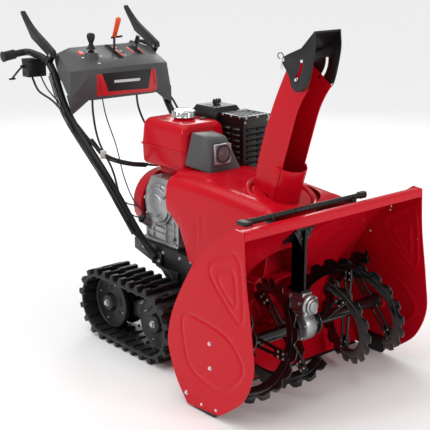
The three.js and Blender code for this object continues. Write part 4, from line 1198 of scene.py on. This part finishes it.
def track_wheel(side, axle, node):
    build = Build()
    z = TRACK["z"]
    origin = (0, axle, z)
    disc = [(13.5, 248), (32, 248), (34, 254), (60, 256), (88, 255), (94, 250), (100.6, 250), (100.6, 264),
            (98, 267), (95, 265), (92, 262.5), (60, 261.5), (36, 263), (32, 278), (29, 282), (13.5, 282)]
    drum = [(13.5, 176), (100.6, 176), (100.6, 190), (92, 190), (88, 184), (34, 184), (30, 190), (30, 248),
            (13.5, 248)]
    for profile in (disc, drum):
        build.lathe(profile, origin, (side, 0, 0), 56)
    for start in around(3, 0.5):
        build.tube([round_x(side * 262, axle, z, 62, start + s * 0.07) for s in range(9)], 3.2, 8)
        build.tube([round_x(side * 262, axle, z, r, start + 1.1) for r in (48, 66)], 3.4, 8)
    piece(node + "_moulded", build, black_plastic, node, (node,), edge=0.8)
    hub = Build()
    hub.lathe([(0, 280), (14, 280), (14, 284), (0, 284)], origin, (side, 0, 0), 28)
    hub.bolt((side * 283.6, axle, z), (side, 0, 0), 11)
    for a in around(4, 0.35):
        spot = round_x(side * 261.4, axle, z, 76, a)
        hub.lathe([(0, 0), (4, 0), (3.2, 1.8), (0, 2.4)], spot, (side, 0, 0), 12)
    piece(node + "_hub", hub, zinc, node, edge=0.5)


for word, side in SIDES:
    track_belt(word, side)
    track_wheel(side, TRACK["y1"], "drive_wheel_" + word)
    track_wheel(side, TRACK["y2"], "idler_wheel_" + word)

# ------------------------------------------------------------------ handlebars and controls

BAR = 14
bar_route = [(155, 772, 330), (160, 790, 352), (186, 835, 420), (218, 985, 612), (240, 1195, 815),
             (246, 1284, 968), (250, 1332, 1018), (250, 1420, 1034), (258, 1468, 1038), (300, 1480, 1033)]
LEVER_Y, LEVER_Z, LEVER_X = 1284, 1042, 250


def handlebar(word, side):
    build = Build()
    route = spline(bar_route, 90)
    build.tube([(side * p.x, p.y, p.z) for p in route], BAR, 20)
    foot = [(142, 740), (150, 740), (150, 800), (142, 800)]
    build.prism([(side * x, y) for x, y in foot], "z", 300, 352)
    build.tube([(side * 146, 776, 334), (side * 158, 776, 334)], 12, 16)
    for dx in (-12, 12):
        outline = [(LEVER_Y - 9, LEVER_Z + 8), (LEVER_Y + 9, LEVER_Z + 8), (LEVER_Y + 44, LEVER_Z - 20),
                   (LEVER_Y + 30, LEVER_Z - 42)]
        build.prism(outline, "x", side * LEVER_X + dx - 2, side * LEVER_X + dx + 2)
    build.tube([(side * LEVER_X - 14, LEVER_Y, LEVER_Z), (side * LEVER_X + 14, LEVER_Y, LEVER_Z)], 5, 14)
    piece("handlebar_" + word + "_tube", build, black_satin, stands_for=("handlebar_" + word,),
          edge=0.6, angle=45)
    bolts = Build()
    for y, z in [(755, 315), (785, 338)]:
        bolts.bolt((side * 150, y, z), (side, 0, 0), 7)
    for dx in (-1, 1):
        bolts.bolt((side * LEVER_X + dx * 14, LEVER_Y, LEVER_Z), (dx, 0, 0), 5)
    piece("handlebar_" + word + "_bolts", bolts, zinc, edge=0.4)


def grip(word, side):
    """A ribbed rubber sleeve with a thicker end."""
    start, end = Vector((side * 305, 1480.4, 1032.4)), Vector((side * 360, 1482.2, 1024.3))
    along = end - start
    profile = [(14.5, 0), (18, 0), (19, 2)]
    for i in range(7):
        at = 4 + i * 6
        profile += [(19, at), (19, at + 3.4), (17.6, at + 4.2), (17.6, at + 5.4)]
    profile += [(19, 46), (21, 48), (21, 53.5), (18, 55.6), (0, 55.9)]
    build = Build().lathe([(0, 0)] + profile, start, along, 32)
    piece("grip_" + word + "_sleeve", build, grip_rubber, stands_for=("grip_" + word,))


def control_housing(word, side):
    refined("control_housing_" + word, black_plastic, 5, 3)
    screws = Build()
    for x, z in [(232, 990), (272, 990), (232, 958), (272, 958)]:
        screws.bolt((side * x, 1399.4, z), FRONT, 3.6)
    for y, z in [(1412, 990), (1440, 960)]:
        screws.bolt((side * 292.4, y, z), (side, 0, 0), 3.6)
    piece("control_housing_" + word + "_screws", screws, worn_black, edge=0.3)
    rib = Build()
    for z in (962, 974, 986):
        rib.block(*sorted((side * 222, side * 282)), 1397.6, 1401, z - 1.5, z + 1.5)
    piece("control_housing_" + word + "_ribs", rib, black_plastic, edge=0.6)


def clutch_lever(word, side):
    """A broad moulded paddle on a narrow root, turning on a boss."""
    x = side * LEVER_X
    outline = spline2([(1272, 1058), (1330, 1090), (1396, 1124), (1440, 1152), (1494, 1198)], 16)
    outline += [(1501, 1190), (1480, 1162), (1424, 1095), (1370, 1069), (1294, 1031), (1273, 1038)]
    build = Build().prism(outline, "x", x - 9, x + 9)
    build.tube([(x - 9.6, LEVER_Y, LEVER_Z + 4), (x + 9.6, LEVER_Y, LEVER_Z + 4)], 10, 20)
    for edge_x in (x - 9, x + 9):
        build.tube([(edge_x, y + 4, z - 6) for y, z in outline[3:15]], 1.6, 8)
    piece("clutch_lever_" + word + "_paddle", build, black_plastic, "clutch_lever_" + word,
          ("clutch_lever_" + word,), edge=2.2, segments=3, angle=50)


for word, side in SIDES:
    handlebar(word, side)
    grip(word, side)
    control_housing(word, side)
    clutch_lever(word, side)
    refined("steering_trigger_" + word, black_plastic, 0.8)


def console():
    refined("console", grey_plastic, 4, 3, angle=25)

    def front(x, z, out):
        y = 1176 - (z - 868) * 24 / 124
        return (x, y - out, z)

    def panel(name, corners, depth, mat, base=0.0):
        pts = [front(x, z, base) for x, z in corners] + [front(x, z, depth) for x, z in corners]
        piece(name, Build().add(pts, prism_faces(len(corners))), mat, edge=0.4)

    ground = [(-134, 970), (148, 969), (170, 874), (-124, 881)]
    panel("console_panel_ground", ground, 1.0, red_print, base=-0.6)
    panel("console_panel", [(-111, 971), (128, 969.5), (122, 890), (-72, 896)], 1.5, black_plastic, base=0.2)
    for word, x in (("right", -128), ("left", 134)):
        stripe = [(x, 968), (x + 5, 968), (x + 24, 900), (x + 18, 900)]
        panel("console_panel_bar_" + word, stripe, 1.4, dark_red, base=0.6)
    panel("console_panel_dash", [(-50, 940), (76, 937), (74, 926), (-49, 929)], 2.1, white_mark, base=1.2)


console()


def console_top():
    """The upper face's plates and plain marks beside the slots."""
    slope = 68 / 170

    def top(x, y, lift=0.0):
        return (x, y, 992 + (y - 1152) * slope + lift)

    def plate(build, x0, x1, y0, y1, lift=1.0):
        corners = ((x0, y0), (x1, y0), (x1, y1), (x0, y1))
        build.add([top(x, y, up) for up in (-1, lift) for x, y in corners], prism_faces(4))

    marks = Build()
    for x0, x1, y0, y1 in [(36, 44, 1222, 1300), (98, 106, 1242, 1290), (146, 152, 1242, 1284)]:
        plate(marks, x0, x1, y0, y1)
    plate(marks, -140, -118, 1262, 1286)
    piece("console_red_marks", marks, orange, edge=0.3)
    white = Build()
    for x0, x1, y0, y1 in [(-104, -94, 1186, 1192), (-146, -136, 1236, 1242), (-62, -52, 1236, 1242),
                           (50, 58, 1228, 1232), (50, 62, 1262, 1266), (50, 58, 1292, 1296)]:
        plate(white, x0, x1, y0, y1)
    piece("console_white_marks", white, white_mark, edge=0.3)
    rims = Build()
    for x, y0, y1 in [(22, 1213, 1317), (130, 1233, 1295)]:
        path = [top(x + dx, y, 0.6) for dx, y in ((-10, y0), (10, y0), (10, y1), (-10, y1), (-10, y0))]
        for a, b in zip(path, path[1:]):
            rims.tube([a, b], 1.8, 8)
    piece("console_slot_rims", rims, black_plastic)


console_top()


def levers():
    speed = Build()
    speed.tube([(22, 1266, 915), (22, 1258, 1098)], 5, 14)
    speed.tube([(10, 1266, 915), (34, 1266, 915)], 10, 18)
    speed.tube([(8, 1257, 1094), (62, 1262, 1096)], 4.5, 10)
    piece("speed_lever_arm", speed, black_satin, "speed_lever", edge=0.5)
    knob = Build()
    base, tip = Vector((22, 1258, 1096)), Vector((22, 1223, 1174))
    knob.lathe([(0, 0), (7.5, 0), (9, 3), (9.2, 30), (10.4, 60), (11, 76), (9.5, 82), (6, 85.2), (0, 85.6)],
               base, tip - base, 28)
    piece("speed_lever_grip", knob, orange, "speed_lever", ("speed_lever",))
    choke = Build()
    choke.tube([(130, 1268, 935), (130, 1256, 1070)], 4.5, 12)
    choke.tube([(122, 1268, 935), (138, 1268, 935)], 9, 16)
    start, end = Vector((130, 1257, 1064)), Vector((130, 1246, 1094))
    choke.lathe([(0, 0), (8, 0), (10, 4), (10, 10), (8.6, 22), (9, 28), (7, 32), (0, 33)],
                start, end - start, 20)
    piece("choke_lever_moulded", choke, black_plastic, "choke_lever", ("choke_lever",), edge=0.5)


levers()


def joystick():
    x, y, z = -99, 1243, 1040
    boot = [(0, 15.6), (13.5, 15.8)]
    for i in range(5):
        r = 21 - i * 2.6
        boot += [(r, 17.2 + i * 4.6), (r - 2.8, 19.6 + i * 4.6)]
    knob = [(8.6, 41), (11, 47), (14.5, 56), (16.4, 65), (16, 72), (13, 77.5), (8, 80), (0, 80.8)]
    build = Build().lathe(boot + knob, (x, y, z), UP, 36)
    build.lathe([(0, -2), (3.5, -2), (3.5, 18), (0, 18)], (x, y, z), UP, 12)
    piece("joystick_moulded", build, black_plastic, "joystick", ("joystick",), angle=50)
    refined("joystick_gimbal", black_plastic, 0, angle=60)


joystick()

# ------------------------------------------------------------------ cables

clutch_route = [(262, 1425, 940), (268, 1370, 895), (266, 1275, 868), (266, 1200, 830), (262, 1115, 745),
                (250, 985, 632), (240, 890, 520), (212, 828, 425), (178, 778, 374)]
cable_routes = {
    "clutch_cable_right": mirrored(clutch_route),
    "clutch_cable_left": clutch_route,
    "cable_loom": [(-216, 1090, 735), (-202, 1040, 690), (-176, 1000, 668), (-120, 965, 650), (-60, 945, 640),
                   (-20, 925, 634)],
    "shift_cable": [(-96, 1250, 900), (-104, 1236, 800), (-112, 1190, 700), (-124, 1080, 600),
                    (-150, 985, 480), (-140, 930, 380)],
    "throttle_cable": [(120, 1255, 895), (116, 1230, 800), (104, 1140, 720), (90, 1010, 676), (80, 950, 652)],
}


def cables():
    for node, route in cable_routes.items():
        radius = 4.4 if node != "cable_loom" else 4.5
        build = Build().tube(spline(route, 70), radius, 10)
        piece(node + "_sheath", build, black_plastic, stands_for=(node,))
    loom = Build()
    for k, (dx, dz) in enumerate([(7, 3), (-6, 6), (2, -9), (10, -6)]):
        strand = [(x + dx, y + 2 * k, z + dz) for x, y, z in cable_routes["cable_loom"][:5]]
        loom.tube(spline(strand, 50), 3.0, 8)
    upper = [(240, 1398, 950), (252, 1330, 905), (250, 1240, 850), (252, 1120, 738),
             (238, 1000, 622), (226, 900, 510), (196, 830, 408)]
    for route in (mirrored(upper), upper):
        loom.tube(spline(route, 60), 3.0, 8)
    bundle = [(-212, 1064, 712), (-222, 1100, 738), (-231, 1142, 774), (-239, 1190, 811)]
    ribs = [7.5 if k % 2 else 6.3 for k in range(60)]
    loom.tube(spline(bundle, 60), ribs, 12)
    for dx, dz in ((-24, 4), (-28, -6), (-20, 12)):
        beside = [(dx * 0.9 - p.x, p.y, p.z + dz) for p in spline(bar_route[2:6], 40)]
        loom.tube(beside, 2.4, 8)
    drop = [(-60, 1240, 880), (-66, 1200, 790), (-84, 1110, 690), (-130, 1000, 600), (-138, 930, 520),
            (-120, 885, 470)]
    loom.tube(spline(drop, 60), 2.4, 8)
    for branch in ([(-226, 1010, 640), (-214, 960, 560), (-190, 905, 520), (-150, 880, 505)],
                   [(-222, 1000, 628), (-196, 955, 540), (-165, 905, 470), (-128, 872, 455)]):
        loom.tube(spline(branch, 40), 2.6, 8)
    piece("thin_cables", loom, black_plastic)
    plug = Build()
    plug.block(-208, -188, 1024, 1040, 668, 700)
    plug.block(-204, -192, 1020, 1024, 672, 694)
    piece("loom_connector", plug, connector_white, edge=2)


cables()

# ------------------------------------------------------------------ floor, light and camera


FLOOR_HALF = 60  # metres
SKY_STRENGTH = 0.46
SUN_STRENGTH, SUN_SPREAD, SUN_TILT = 1.75, 70, (-12, -14)
LENS, LENS_SHIFT = 84.9, (0.0012, -0.0053)
CAMERA_AT = (-2312.6, -2125.0, 1506.4)
CAMERA_DOWN, CAMERA_TURN = 15.57, -40.2


def floor():
    mesh = bpy.data.meshes.new("floor")
    rim = FLOOR_HALF
    mesh.from_pydata([(-rim, -rim, 0), (rim, -rim, 0), (rim, rim, 0), (-rim, rim, 0)], [], [[0, 1, 2, 3]])
    obj = linked("floor", mesh)
    mesh.materials.append(material("pale_floor", (0.88, 0.88, 0.88), 0.8, vary=0.01))


def light(name, where, target, size, power):
    data = bpy.data.lights.new(name, "AREA")
    data.shape = "RECTANGLE"
    data.size, data.size_y = size
    data.energy = power
    obj = linked(name, data)
    obj.location = where
    obj.rotation_euler = (Vector(target) - Vector(where)).to_track_quat("-Z", "Y").to_euler()


def studio():
    """Soft boxes round the machine, bright from above and from the side the camera sees."""
    world = bpy.data.worlds.new("studio")
    world.use_nodes = True
    set_inputs(world.node_tree.nodes["Background"], Color=(1, 1, 1, 1), Strength=SKY_STRENGTH)
    bpy.context.scene.world = world
    bpy.context.scene.view_settings.view_transform = "Standard"
    sun = bpy.data.lights.new("overhead", "SUN")
    sun.energy = SUN_STRENGTH
    sun.angle = radians(SUN_SPREAD)
    linked("overhead", sun).rotation_euler = (*[radians(a) for a in SUN_TILT], 0)
    middle = (0, 0, 0.5)
    light("key", (-4.4, 0.6, 2.4), middle, (0.7, 1.8), 42)
    light("front", (0.6, -4.4, 1.8), (0, -0.3, 0.4), (1.6, 1.0), 50)
    light("rim", (2.6, 3.0, 2.4), middle, (1.8, 1.4), 45)


def camera():
    data = bpy.data.cameras.new("camera")
    data.sensor_width = 36
    data.lens = LENS
    data.shift_x, data.shift_y = LENS_SHIFT
    data.clip_end = FLOOR_HALF
    obj = linked("camera", data)
    obj.location = place(CAMERA_AT)
    obj.rotation_euler = (radians(90 - CAMERA_DOWN), 0, radians(CAMERA_TURN))
    bpy.context.scene.camera = obj


floor()
studio()
camera()

# ------------------------------------------------------------------ the CAD pieces that stay as they are

for obj in frame["nodes"].values():
    for i in range(len(obj.data.materials)):
        obj.data.materials[i] = black_satin
